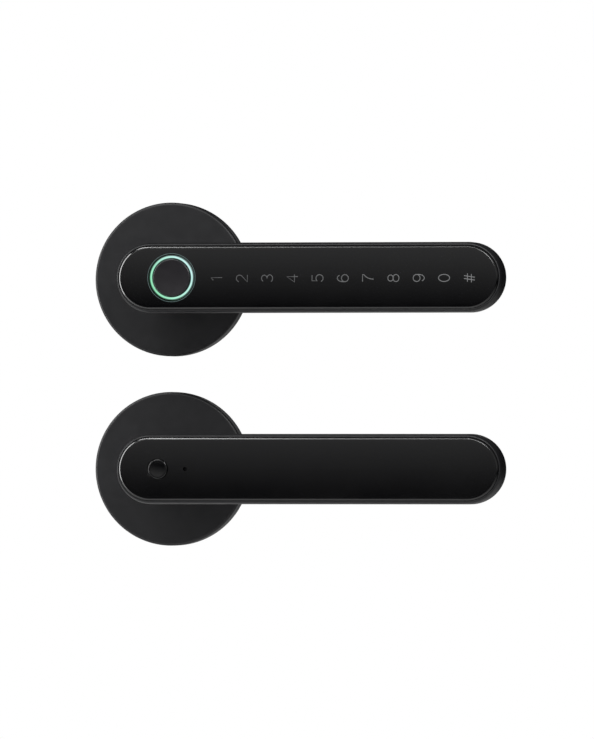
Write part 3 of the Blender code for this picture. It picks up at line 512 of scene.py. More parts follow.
class LOCK_OT_finishes(bpy.types.Operator):
    """Make the finishes, and give them to the inner parts whose shape stays"""
    bl_idname = "lock.finishes"
    bl_label = "Finishes"

    def execute(self, context):
        make_finishes(context.scene.lock_colours)
        refinish("zinc_plate", "outer_bearing_collar", "inner_bearing_collar", "outer_neck_nut",
                 "inner_neck_nut", "board_screw_1", "board_screw_2")
        refinish("spring_steel", "outer_return_spring", "inner_return_spring", "outer_cam_clip",
                 "inner_cam_clip", "clutch_spring")
        refinish("nylon", "outer_neck_bush", "inner_neck_bush", "motor_sleeve")
        refinish("circuit_board", "keypad_board", "control_board", "sensor_board")
        refinish("nickel", "clutch_motor")
        refinish("brass", "clutch_pin")
        refinish("black_abs", "buzzer")
        refinish("ivory", "outer_cable_connector")
        return {"FINISHED"}


class LOCK_OT_rose_covers(bpy.types.Operator):
    """Turn the two rose covers, with a rounded front edge and a neck hole"""
    bl_idname = "lock.rose_covers"
    bl_label = "Rose covers"

    def execute(self, context):
        sizes = context.scene.lock_sizes
        edge = sizes.rose_edge
        for side in UNITS:
            rose, neck = Reach(side + "_rose_cover", side), Reach(side + "_neck", side)
            hole = neck.radius + GAP
            inner, inside = rose.radius - sizes.rose_wall, rose.front - sizes.rose_wall
            section = [(hole, rose.front)]
            section += quarter(rose.radius - edge, rose.front - edge, edge, edge, math.pi / 2, 0, 8)
            section += [(rose.radius, rose.back), (inner, rose.back), (inner, inside), (hole, inside)]
            shell = soften(turn(section, FINE), 0.00018)
            piece(side + "_rose", shell, side, "mounting_base", "satin_coat",
                  [side + "_rose_cover"])
        return {"FINISHED"}


class LOCK_OT_mounting_plates(bpy.types.Operator):
    """Stamp the two mounting plates, with a pressed ring, screw holes and slots, and lay the gasket"""
    bl_idname = "lock.mounting_plates"
    bl_label = "Mounting plates and gasket"

    def execute(self, context):
        for side in UNITS:
            plate = Reach(side + "_mounting_plate", side)
            post = Reach("fixing_post_right", "outer")
            socket = Reach("drive_socket", "outer")
            hole = socket.radius + 2 * GAP
            groove, depth = plate.radius - 0.0052, 0.0005
            section = [(hole, plate.front), (plate.radius, plate.front), (plate.radius, plate.back)]
            section += [(groove + 0.0018, plate.back), (groove + 0.0012, plate.back + depth)]
            section += [(groove - 0.0012, plate.back + depth), (groove - 0.0018, plate.back),
                        (hole, plate.back)]
            work = turn(section, FINE)
            leg = rod(0.0008, plate.back - GAP, plate.front + GAP, TINY, 0, -post.x)
            cutters = [leg]
            for x in (-post.x, post.x):
                if side == "outer":
                    cutters.append(rod(0.0023, plate.back - GAP, plate.front + GAP, SMALL, x))
                else:
                    cutters.append(self.countersink(plate, x))
            for angle in (45, 135, 225, 315):
                cutters.append(self.slot_cutter(plate, math.radians(angle)))
            work = soften(carve(work, *cutters), 0.00015, 1)
            piece(side + "_plate", work, side, "mounting_base", "zinc_plate",
                  [side + "_mounting_plate"])
        self.gasket()
        return {"FINISHED"}

    def countersink(self, plate, x):
        flat = plate.front
        seat = [(0, flat + GAP), (0.0036 + GAP, flat + GAP), (0.0023, flat - 0.0016), (0.0023, -GAP),
                (0, -GAP)]
        return move(turn(seat, SMALL), (x, 0, 0))

    def slot_cutter(self, plate, angle):
        """A short slot for lining the plate up on an uneven door."""
        work = pull(rod(0.0012, plate.back - GAP, plate.front + GAP, 26), 0.0030)
        move(work, (0.0165, 0, 0))
        return lay(work, angle, "Z")

    def gasket(self):
        ring, plate = Reach("outer_gasket", "outer"), Reach("outer_mounting_plate", "outer")
        inner, outer, groove = plate.radius + GAP, ring.radius, 0.00025
        middle = (inner + outer) / 2
        section = [(inner, ring.front), (outer, ring.front), (outer, ring.back), (middle + groove, ring.back)]
        section += [(middle, ring.back + groove), (middle - groove, ring.back), (inner, ring.back)]
        work = soften(turn(section, FINE), 0.0002)
        piece("gasket_ring", work, "outer", "mounting_base", "rubber", ["outer_gasket"])


class LOCK_OT_lever_shells(bpy.types.Operator):
    """Make the two lever housings: a long oval tray with a rounded back and a drawn-in front edge"""
    bl_idname = "lock.lever_shells"
    bl_label = "Lever housings"

    def execute(self, context):
        sizes = context.scene.lock_sizes
        for side in UNITS:
            shell = Reach(side + "_lever_housing", side)
            panel = Reach("touch_panel", "outer")
            radius = shell.height
            span = shell.right - radius
            cavity = radius - sizes.lever_wall
            ledge = panel.back - GAP
            pocket = panel.height + GAP
            inside = shell.back + sizes.lever_floor
            lip = radius - sizes.lever_lip
            back_round = sizes.lever_back_round
            section = [(0, inside), (cavity, inside), (cavity, ledge), (pocket, ledge), (pocket, shell.front)]
            section += quarter(lip, shell.front - sizes.lever_front_round, sizes.lever_lip,
                               sizes.lever_front_round, math.pi / 2, 0, 12)
            section += quarter(radius - back_round, shell.back + back_round, back_round, back_round,
                               0, -math.pi / 2, 12)
            section += [(0, shell.back)]
            work = soften(turn(section, OVAL), 0.00012)
            work = pull(work, span)
            spigot = Reach(side + "_neck_nut", side)
            cutters = [rod(spigot.radius - 0.0014, shell.back - GAP, inside + GAP, MEDIUM)]
            if side == "outer":
                port = Reach("emergency_port", "outer")
                opening = slab(port.left - GAP, port.right + GAP, port.bottom - 0.004, port.bottom + 0.006,
                               port.back - GAP, port.front + GAP)
                cutters.append(soften(opening, 0.0016, 6, chosen=lambda spot: self.along_mouth(spot, port)))
            work = carve(work, *cutters)
            if side == "outer":
                work = self.bosses(work, inside)
            piece(side + "_lever_shell", work, side, side + "_lever", "satin_coat",
                  [side + "_lever_housing"])
        return {"FINISHED"}

    def along_mouth(self, spot, port):
        """The port opening's edges that run up into the lever."""
        return (abs(spot.x - port.x) > port.radius
                and min(abs(spot.z - port.back), abs(spot.z - port.front)) < 0.0005)

    def bosses(self, work, inside):
        """The two board bosses, each with its screw's bore."""
        board = Reach("control_board", "outer")
        for name in ("board_screw_1", "board_screw_2"):
            x = Reach(name, "outer").x
            top = board.back - GAP
            section = [(0.0013, inside + GAP), (0.0013, top), (0.0030, top), (0.0034, inside - GAP),
                       (0.0013, inside - GAP)]
            boss = turn(section[1:], SMALL)
            work = combine(work, move(boss, (x, 0, 0)))
        return work


class LOCK_OT_necks(bpy.types.Operator):
    """Turn the two necks, which carry the levers through the roses"""
    bl_idname = "lock.necks"
    bl_label = "Necks"

    def execute(self, context):
        clip_gap = GAP
        for side in UNITS:
            neck, clip = Reach(side + "_neck", side), Reach(side + "_cam_clip", side)
            nut = Reach(side + "_neck_nut", side)
            shell = Reach(side + "_lever_housing", side)
            spigot = nut.radius - 0.0014 - GAP
            shoulder = shell.back - GAP
            bore = 0.0075 if side == "outer" else 0.0030
            groove = neck.radius - 0.0013
            section = [(bore, neck.front), (spigot, neck.front), (spigot, shoulder), (neck.radius, shoulder)]
            section += [(neck.radius, clip.front + clip_gap), (groove, clip.front + clip_gap)]
            section += [(groove, clip.back - clip_gap), (neck.radius, clip.back - clip_gap)]
            section += [(neck.radius, neck.back), (bore, neck.back)]
            work = soften(turn(section, MEDIUM), 0.00018)
            if side == "inner":
                bar, grub = Reach("spindle", "inner"), Reach("grub_screw", "inner")
                half = bar.radius + GAP
                square = slab(-half, half, -half, half, neck.back - GAP, bar.front + GAP)
                level = (grub.back + grub.front) / 2
                drill = rod(grub.radius + GAP, bar.radius - GAP, neck.radius + GAP, SMALL)
                drill = lay(drill, math.pi / 2, "X")
                work = carve(work, square, move(drill, (0, 0, level)))
            piece(side + "_lever_neck", work, side, side + "_lever", "satin_coat",
                  [side + "_neck"])
        return {"FINISHED"}


def sink(work, crown, radius, above=0.0):
    """Lower a shape toward the lever's long edges, by the crown's full height at the radius."""
    for vert in work.verts:
        if vert.co.z > above:
            vert.co.z -= crown * (vert.co.y / radius) ** 2


def front_panel(node, side, sizes):
    """A front panel's oval, with its chamfer and its crown across the lever."""
    panel = Reach(node, side)
    span = panel.right - panel.height
    radius = panel.height + GAP / 2
    chamfer = sizes.panel_chamfer
    rows = [(radius - chamfer) * step / 8 for step in range(9)]
    section = [(row, panel.front) for row in rows]
    section += [(radius, panel.front - chamfer * 0.7), (radius, panel.back), (0, panel.back)]
    work = turn(section, OVAL)
    soften(work, 0.00012, 2, math.radians(25), lambda spot: spot.z > panel.front - chamfer)
    pull(work, span)
    sink(work, sizes.panel_crown, radius, panel.back + MERGE)
    return work


class LOCK_OT_touch_window(bpy.types.Operator):
    """Make the touch window, with a crowned front and the reader's hole"""
    bl_idname = "lock.touch_window"
    bl_label = "Touch window"

    def execute(self, context):
        panel, ring = Reach("touch_panel", "outer"), Reach("light_ring", "outer")
        work = front_panel("touch_panel", "outer", context.scene.lock_sizes)
        radius = ring.radius + GAP
        hole = rod(radius, panel.back - GAP, panel.front + GAP, MEDIUM, ring.x)
        work = carve(work, hole)
        soften(work, 0.0003, 4, chosen=lambda spot: spot.z > panel.front - 0.001
               and abs(math.hypot(spot.x - ring.x, spot.y) - radius) < 0.0001)
        piece("touch_window", work, "outer", "outer_lever", "window", ["touch_panel"])
        return {"FINISHED"}


def bow(x, y, across, up, start, end, count=20):
    """Points on an ellipse's arc, in millimetres and degrees."""
    angles = [math.radians(start + (end - start) * step / count) for step in range(count + 1)]
    return [(x + across * math.cos(angle), y + up * math.sin(angle)) for angle in angles]


# Each character's pen strokes, in millimetres from its middle
STROKES = {
    "1": [[(-0.75, 1.45), (0.35, 2.38), (0.35, -2.38)]],
    "2": [bow(0, 0.97, 1.4, 1.41, 165, -38) + [(-1.5, -2.38), (1.5, -2.38)]],
    "3": [bow(0, 1.18, 1.35, 1.2, 155, -90), bow(0, -1.18, 1.5, 1.2, 90, -155)],
    "4": [[(0.7, -2.38), (0.7, 2.38), (-1.6, -0.95), (1.6, -0.95)]],
    "5": [[(1.25, 2.38), (-1.05, 2.38)] + bow(0, -0.85, 1.5, 1.53, 140, -155)],
    "6": [bow(0, -0.9, 1.5, 1.48, 0, 360, 30), bow(0, 0, 1.5, 2.38, 36, 180) + [(-1.5, -0.9)]],
    "7": [[(-1.5, 2.38), (1.5, 2.38)] + bow(3.2, -2.38, 3.65, 4.76, 118, 180, 8)],
    "8": [bow(0, 1.22, 1.3, 1.16, 0, 360, 30), bow(0, -1.1, 1.5, 1.28, 0, 360, 30)],
    "9": [bow(0, 0.9, 1.5, 1.48, 0, 360, 30), bow(0, 0, 1.5, 2.38, 216, 360) + [(1.5, 0.9)]],
    "0": [bow(0, 0, 1.5, 2.38, 0, 360, 40)],
    "#": [[(-0.25, 2.3), (-0.95, -2.3)], [(0.95, 2.3), (0.25, -2.3)],
          [(-1.6, 0.85), (1.9, 0.85)], [(-1.9, -0.85), (1.6, -0.85)]],
}


class LOCK_OT_digits(bpy.types.Operator):
    """Lay the keypad's digits on the touch window, turned a quarter to the left"""
    bl_idname = "lock.digits"
    bl_label = "Digits"

    def execute(self, context):
        sizes = context.scene.lock_sizes
        panel = Reach("touch_panel", "outer")
        works = []
        for index, character in enumerate("1234567890#"):
            glyph = self.glyph(character, sizes.digit_line)
            lay(glyph, math.pi / 2, "Z")
            works.append(move(glyph, (sizes.digit_start + index * sizes.digit_pitch, -0.0004, panel.front)))
        piece("keypad_digits", combine(*works), "outer", "outer_lever", "legend")
        return {"FINISHED"}

    def glyph(self, character, line):
        """One character's strokes as flat ribbons with round ends."""
        curve = bpy.data.curves.new("digit", "CURVE")
        curve.dimensions = "3D"
        curve.bevel_depth = line / 2
        curve.bevel_resolution = 2
        curve.use_fill_caps = True
        for stroke in STROKES[character]:
            spline = curve.splines.new("POLY")
            spline.points.add(len(stroke) - 1)
            for target, (x, y) in zip(spline.points, stroke):
                target.co = (x / 1000, y / 1000, 0, 1)
        holder = bpy.data.objects.new("digit", curve)
        bpy.context.scene.collection.objects.link(holder)
        mesh = bpy.data.meshes.new_from_object(holder.evaluated_get(bpy.context.evaluated_depsgraph_get()))
        bpy.data.objects.remove(holder)
        bpy.data.curves.remove(curve)
        work = bmesh.new()
        work.from_mesh(mesh)
        bpy.data.meshes.remove(mesh)
        bmesh.ops.scale(work, vec=(1, 1, 0.1), verts=work.verts)
        bmesh.ops.recalc_face_normals(work, faces=work.faces)
        return work


class LOCK_OT_reader(bpy.types.Operator):
    """Turn the fingerprint reader's cap and the light ring round it"""
    bl_idname = "lock.reader"
    bl_label = "Fingerprint reader"

    def execute(self, context):
        cap, ring = Reach("fingerprint_sensor", "outer"), Reach("light_ring", "outer")
        sunk, rise = 0.00030, 0.00012
        inner = cap.radius + GAP
        section = [(inner, ring.front - sunk - rise), ((inner + ring.radius) / 2, ring.front - sunk),
                   (ring.radius, ring.front - sunk - rise), (ring.radius, ring.back), (inner, ring.back)]
        work = move(soften(turn(section, MEDIUM), 0.0001), (ring.x, 0, 0))
        piece("reader_light_ring", work, "outer", "outer_lever", "light_guide", ["light_ring"])
        front, dish = cap.front - 0.00010, 0.00025
        section = [(0, front - dish)]
        section += [(cap.radius * 0.94 * step / 6, front - dish + dish * (step / 6) ** 2)
                    for step in range(1, 7)]
        section += quarter(cap.radius - 0.0004, front - 0.0004, 0.0004, 0.0004, math.pi / 2, 0, 4)
        section += [(cap.radius, cap.back), (0, cap.back)]
        work = move(turn(section, MEDIUM), (cap.x, 0, 0))
        piece("reader_cap", work, "outer", "outer_lever", "sensor_coat", ["fingerprint_sensor"])
        # The glowing line round the reader's hole is painted glint of the ring's light, not print
        piece("reader_outline", self.outline(context), "outer", "outer_lever", "outline")
        return {"FINISHED"}

    def outline(self, context):
        """A thin glowing line round the reader's hole, laid on the crowned window: a painted glint of the
        ring's light on the hole's edge.
        """
        panel, ring = Reach("touch_panel", "outer"), Reach("light_ring", "outer")
        inner, outer, top = ring.radius + 0.00062, ring.radius + 0.00078, panel.front + 0.00003
        section = [(inner, top), (outer, top), (outer, top - 0.0002), (inner, top - 0.0002)]
        work = move(turn(section, MEDIUM), (ring.x, 0, 0))
        sink(work, context.scene.lock_sizes.panel_crown, panel.height + GAP / 2)
        return work


class LOCK_OT_battery_lid(bpy.types.Operator):
    """Make the battery cover, with its button hole, its pinhole and the ribs that hold the batteries"""
    bl_idname = "lock.battery_lid"
    bl_label = "Battery cover"

    def execute(self, context):
        lid, button = Reach("battery_cover", "inner"), Reach("privacy_button", "inner")
        pin, tray = Reach("reset_plunger", "inner"), Reach("battery_tray", "inner")
        work = front_panel("battery_cover", "inner", context.scene.lock_sizes)
        holes = ((button.x, 0.0044, 0.0003), (pin.x, 0.00085, 0.0002))
        work = carve(work, *[rod(radius, lid.back - GAP, lid.front + GAP, MEDIUM, x)
                             for x, radius, edge in holes])
        for x, radius, edge in holes:
            soften(work, edge, 3, chosen=lambda spot: spot.z > lid.front - 0.001
                   and abs(math.hypot(spot.x - x, spot.y) - radius) < 0.0001)
        ribs = []
        for y in (-0.0070, 0.0070):
            ribs.append(soften(slab(tray.left + 0.003, tray.right - 0.003, y - 0.0005, y + 0.0005,
                                    lid.back - 0.0012, lid.back + 0.0002), 0.0002, 2))
        for x in (tray.left + 0.012, tray.x, tray.right - 0.012):
            ribs.append(soften(slab(x - 0.0005, x + 0.0005, -0.0105, 0.0105,
                                    lid.back - 0.0010, lid.back + 0.0002), 0.0002, 2))
        piece("battery_lid", combine(work, *ribs), "inner", "battery_cover", "lid",
              ["battery_cover"])
        return {"FINISHED"}


class LOCK_OT_buttons(bpy.types.Operator):
    """Turn the privacy button and the reset plunger"""
    bl_idname = "lock.buttons"
    bl_label = "Buttons"

    def execute(self, context):
        button, pin = Reach("privacy_button", "inner"), Reach("reset_plunger", "inner")
        lid = Reach("battery_cover", "inner")
        cap, stem = 0.0041, 0.00205
        front, dish, edge = button.front, 0.00022, 0.0003
        flange_front = lid.back - GAP
        section = [(0, front - dish)]
        section += [((cap - edge) * step / 5, front - dish + dish * (step / 5) ** 2) for step in range(1, 5)]
        section += quarter(cap - edge, front - edge, edge, edge, math.pi / 2, 0, 4)
        section += [(cap, flange_front), (button.radius, flange_front),
                    (button.radius, flange_front - 0.0010)]
        section += [(stem, flange_front - 0.0010), (stem, button.back), (0, button.back)]
        work = move(soften(turn(section, MEDIUM), 0.0001, 1), (button.x, 0, 0))
        piece("privacy_knob", work, "inner", "privacy_button", "lid", ["privacy_button"])
        section = [(0, pin.front), (pin.radius * 0.6, pin.front), (pin.radius, pin.front - 0.0004)]
        section += [(pin.radius, pin.back), (0, pin.back)]
        work = move(turn(section, SMALL), (pin.x, 0, 0))
        # The reset plunger is given black ABS so that the pinhole in front of it reads dark: painted shade
        # standing in for the shadow down the small hole
        piece("reset_pin", work, "inner", "reset_plunger", "black_abs", ["reset_plunger"])
        return {"FINISHED"}


class LOCK_OT_fixings(bpy.types.Operator):
    """Turn the threaded posts and cut the threads of the fixing screws"""
    bl_idname = "lock.fixings"
    bl_label = "Posts and screws"

    def execute(self, context):
        pitch = context.scene.lock_sizes.thread_pitch
        plate = Reach("outer_mounting_plate", "outer")
        for name in ("left", "right"):
            post = Reach("fixing_post_" + name, "outer")
            self.post(name, post, plate, pitch)
            self.screw(name, Reach("fixing_screw_" + name, "inner"), pitch)
        return {"FINISHED"}

    def post(self, name, post, plate, pitch):
        """A post with a riveted head, rings where it can be shortened, and a threaded bore."""
        radius, stub, bore, head = post.radius, 0.0020, 0.0020, 0.0030
        end, depth = post.back, 0.0200
        shoulder = plate.back - GAP
        under_head = plate.front + GAP
        section = [(0, post.front)]
        section += quarter(head - 0.0005, under_head + 0.0001, 0.0005, post.front - under_head - 0.0001,
                           math.pi / 2, 0, 4)
        section += [(head, under_head), (stub, under_head), (stub, shoulder), (radius, shoulder)]
        for ring in range(1, 5):
            level = shoulder - 0.005 * ring
            section += [(radius, level + 0.0005), (radius - 0.0004, level), (radius, level - 0.0005)]
        section += [(radius, end), (bore, end), (bore, end + depth), (0, end + depth)]
        work = soften(turn(section, SMALL), 0.0002, 2)
        ridge = thread(bore + 0.00005, bore - 0.0003, end + 0.0006, end + depth - 0.001, pitch)
        work = move(combine(work, ridge), (post.x, 0, 0))
        piece("post_" + name, work, "outer", "mounting_base", "zinc_plate",
              ["fixing_post_" + name])

    def screw(self, name, screw, pitch):
        """A countersunk screw with a hexagon socket."""
        head, crest, core = screw.radius, 0.0020, 0.00165
        flat, tip = screw.front, screw.back
        section = [(0, flat), (head - 0.0001, flat), (head, flat - 0.0001), (crest, flat - 0.0010)]
        section += [(crest, flat - 0.006), (core, flat - 0.0065), (core, tip + 0.0006),
                    (core - 0.0006, tip), (0, tip)]
        work = turn(section, SMALL)
        socket = rod(0.0014, flat - 0.0012, flat + GAP, 6)
        work = carve(work, socket)
        ridge = thread(core - 0.00005, crest, tip + 0.0007, flat - 0.0062, pitch)
        work = move(combine(work, ridge), (screw.x, 0, 0))
        piece("screw_" + name, work, "inner", "mounting_base", "zinc_plate",
              ["fixing_screw_" + name])


class LOCK_OT_drive(bpy.types.Operator):
    """Make the spindle, its socket and the grub screw"""
    bl_idname = "lock.drive"
    bl_label = "Spindle and socket"

    def execute(self, context):
        self.spindle(context.scene.lock_sizes.snap_grooves)
        self.socket()
        self.grub()
        return {"FINISHED"}

    def spindle(self, grooves):
        """A square bar, drawn out face by face, with notches where it can be shortened."""
        bar = Reach("spindle", "inner")
        side, edge = 2 * bar.radius, 0.0005
        work = slab(-side / 2, side / 2, -side / 2, side / 2, bar.back, bar.back + 0.0005)
        soften(work, edge, 3, chosen=lambda spot: abs(abs(spot.x) - side / 2) < MERGE
               and abs(abs(spot.y) - side / 2) < MERGE)
        low_face = min(work.faces, key=lambda face: face.calc_center_median().z)
        bmesh.ops.scale(work, vec=(0.88, 0.88, 1), verts=low_face.verts)
        face = max(work.faces, key=lambda face: face.calc_center_median().z)
        steps = []
        for index in range(grooves):
            level = bar.back + 0.010 + 0.005 * index
            steps += [(level - 0.0005, 1.0), (level - 0.0002, 0.9), (level + 0.0002, 0.9),
                      (level + 0.0005, 1.0)]
        steps += [(bar.front - 0.0006, 1.0), (bar.front, 0.88)]
        current = 1.0
        for level, size in steps:
            grown = bmesh.ops.extrude_discrete_faces(work, faces=[face])
            face = grown["faces"][0]
            rise = level - face.calc_center_median().z
            bmesh.ops.translate(work, vec=(0, 0, rise), verts=face.verts)
            bmesh.ops.scale(work, vec=(size / current, size / current, 1), verts=face.verts)
            current = size
        work = tidy(work)
        piece("spindle_bar", work, "inner", "inner_lever", "drawn_bar", ["spindle"])

    def socket(self):
        """The clutch's driven half: a square hole for the spindle at its back, a cross slot at its front."""
        socket, bar = Reach("drive_socket", "outer"), Reach("spindle", "inner")
        section = [(0, socket.front), (socket.radius, socket.front), (socket.radius, socket.back),
                   (0, socket.back)]
        work = soften(turn(section, MEDIUM), 0.0003, 2)
        half, slot = bar.radius + GAP, 0.0018
        square = slab(-half, half, -half, half, socket.back - 0.001, socket.back + 0.0060)
        cross = slab(-0.02, 0.02, -slot, slot, socket.front - 0.0025, socket.front + 0.001)
        work = soften(carve(work, square, cross), 0.00015, 1)
        piece("spindle_socket", work, "outer", "socket", "zinc_plate", ["drive_socket"])

    def grub(self):
        grub = Reach("grub_screw", "inner")
        length, pitch, core = grub.top - grub.bottom, 0.0005, grub.radius - 0.0003
        section = [(0, length), (core - 0.0002, length), (core, length - 0.0002), (core, 0.0006),
                   (0.001, 0), (0, 0)]
        work = carve(turn(section, SMALL), rod(grub.radius / 2, length - grub.radius, length + GAP, 6))
        work = combine(work, thread(core - 0.00005, grub.radius, 0.0006, length - 0.0002, pitch))
        lay(work, math.pi / 2, "X")
        move(work, (0, grub.top, (grub.back + grub.front) / 2))
        piece("grub", work, "inner", "inner_lever", "zinc_plate", ["grub_screw"])


class LOCK_OT_port(bpy.types.Operator):
    """Make the emergency power port in the outer lever's underside"""
    bl_idname = "lock.port"
    bl_label = "Emergency port"

    def execute(self, context):
        port = Reach("emergency_port", "outer")
        middle, wall = (port.back + port.front) / 2, 0.0003
        corner = 0.0015
        shell = self.oval_box(port, 0.0, corner, port.bottom, port.top)
        mouth = self.oval_box(port, wall, corner - wall, port.bottom - 0.001, port.top - 0.0006)
        shell = soften(carve(shell, mouth), 0.00008, 1)
        tongue = soften(slab(port.x - 0.0033, port.x + 0.0033, port.bottom + 0.0008, port.top - 0.0004,
                             middle - 0.00035, middle + 0.00035), 0.0001, 2)
        pads = []
        for face in (-1, 1):
            for index in range(12):
                x = port.x - 0.00275 + 0.0005 * index
                level = middle + face * 0.00037
                pads.append(slab(x - 0.00014, x + 0.00014, port.bottom + 0.0012, port.top - 0.0010,
                                 level - 0.00003, level + 0.00003))
        whole = combine(shell, tongue, *pads)
        inside = port.radius - wall - 0.0002
        pad_level = 0.00034

        def paint(spot):
            if abs(spot.x - port.x) > inside or abs(spot.z - middle) > 0.0008 or spot.y > port.top - 0.0005:
                return 0
            return 2 if abs(spot.z - middle) > pad_level + 0.00003 else 1

        piece("power_port", whole, "outer", "outer_lever", ["nickel", "black_abs", "gold"],
              ["emergency_port"], paint)
        return {"FINISHED"}

    def oval_box(self, port, inset, corner, bottom, top):
        """A box along Y whose four long edges are rounded."""
        work = slab(port.left + inset, port.right - inset, bottom, top, port.back + inset, port.front - inset)
        long_edges = (port.left + inset + MERGE, port.right - inset - MERGE)
        return soften(work, corner, 6, chosen=lambda spot: (spot.x < long_edges[0] or spot.x > long_edges[1])
                      and (abs(spot.z - port.back - inset) < MERGE
                           or abs(spot.z - port.front + inset) < MERGE))


class LOCK_OT_battery_bay(bpy.types.Operator):
    """Fill the inner lever: tray, four batteries and their contact plates"""
    bl_idname = "lock.battery_bay"
    bl_label = "Batteries and tray"

    def execute(self, context):
        self.tray()
        for index in range(1, 5):
            self.battery(f"battery_{index}")
            self.contact(f"contact_plate_{index}")
        return {"FINISHED"}

    def tray(self):
        tray = Reach("battery_tray", "inner")
        wall = 0.0008
        work = soften(slab(tray.left, tray.right, tray.bottom, tray.top, tray.back, tray.front), 0.0004, 2)
        plates = [Reach(f"contact_plate_{index}", "inner") for index in range(1, 5)]
        cutters = []
        for first, last in ((plates[0], plates[1]), (plates[2], plates[3])):
            bay = slab(first.left - GAP, last.right + GAP, tray.bottom + wall, tray.top - wall,
                       tray.back + wall, tray.front + 0.001)
            cutters.append(bay)
            middle = (first.left + last.right) / 2
            notch = lay(rod(0.0045, tray.bottom - 0.002, tray.top + 0.002, SMALL), math.pi / 2, "X")
            cutters.append(move(notch, (middle, 0, tray.front + 0.0005)))
        work = carve(work, *cutters)
        ribs = []
        for first, last in ((plates[0], plates[1]), (plates[2], plates[3])):
            ribs.append(slab(first.right + 0.0012, last.left - 0.0012, -0.00012, 0.00012,
                             tray.back + wall - 0.0001, tray.back + wall + 0.0022))
        piece("cell_tray", combine(work, *ribs), "inner", "inner_lever", "black_abs",
              ["battery_tray"])

    def battery(self, node):
        """A cell in a printed sleeve, with its rolled rims and its raised positive end."""
        cell = Reach(node, "inner")
        half, radius = cell.radius, cell.height
        shoulder = half - 0.0008
        nub, rim = 0.0019, 0.0004
        section = [(0, half), (nub - 0.0002, half), (nub, half - 0.0002), (nub, shoulder - 0.0001)]
        section += [(radius - 3 * rim, shoulder - 0.0001), (radius - 2.4 * rim, shoulder)]
        section += quarter(radius - rim, shoulder - rim, rim, rim, math.pi / 2, 0, 3)
        section += [(radius, 0.014), (radius, -half + rim)]
        section += quarter(radius - rim, -half + rim, rim, rim, 0, -math.pi / 2, 3)
        section += [(radius - 2.4 * rim, -half), (radius - 3 * rim, -half + 0.0002), (0, -half + 0.0002)]
        way = 1 if cell.y > 0 else -1
        work = lay(turn(section, SMALL), way * math.pi / 2, "Y")
        move(work, (cell.x, cell.y, (cell.back + cell.front) / 2))
        bare = radius - 2.2 * rim

        def paint(spot):
            along = (spot.x - cell.x) * way
            out = math.hypot(spot.y - cell.y, spot.z - (cell.back + cell.front) / 2)
            if abs(along) > half - 0.0012 and out < bare:
                return 2
            return 1 if along > 0.014 else 0

        piece("cell_" + node[-1], work, "inner", "inner_lever", ["sleeve", "sleeve_band", "nickel"],
              [node], paint)

    def contact(self, node):
        """A contact plate with a small round hole in front of each battery."""
        plate = Reach(node, "inner")
        sheet = slab(plate.left, plate.right, plate.bottom, plate.top, plate.back, plate.front)
        work = soften(sheet, 0.00012, 2)
        for cell in ("battery_1", "battery_2"):
            y = Reach(cell, "inner").y
            level = (plate.back + plate.front) / 2
            hole = lay(rod(0.0009, -0.001, 0.001, TINY), math.pi / 2, "Y")
            work = carve(work, move(hole, (plate.x, y, level)))
        piece("contact_" + node[-1], work, "inner", "inner_lever", "spring_steel", [node])


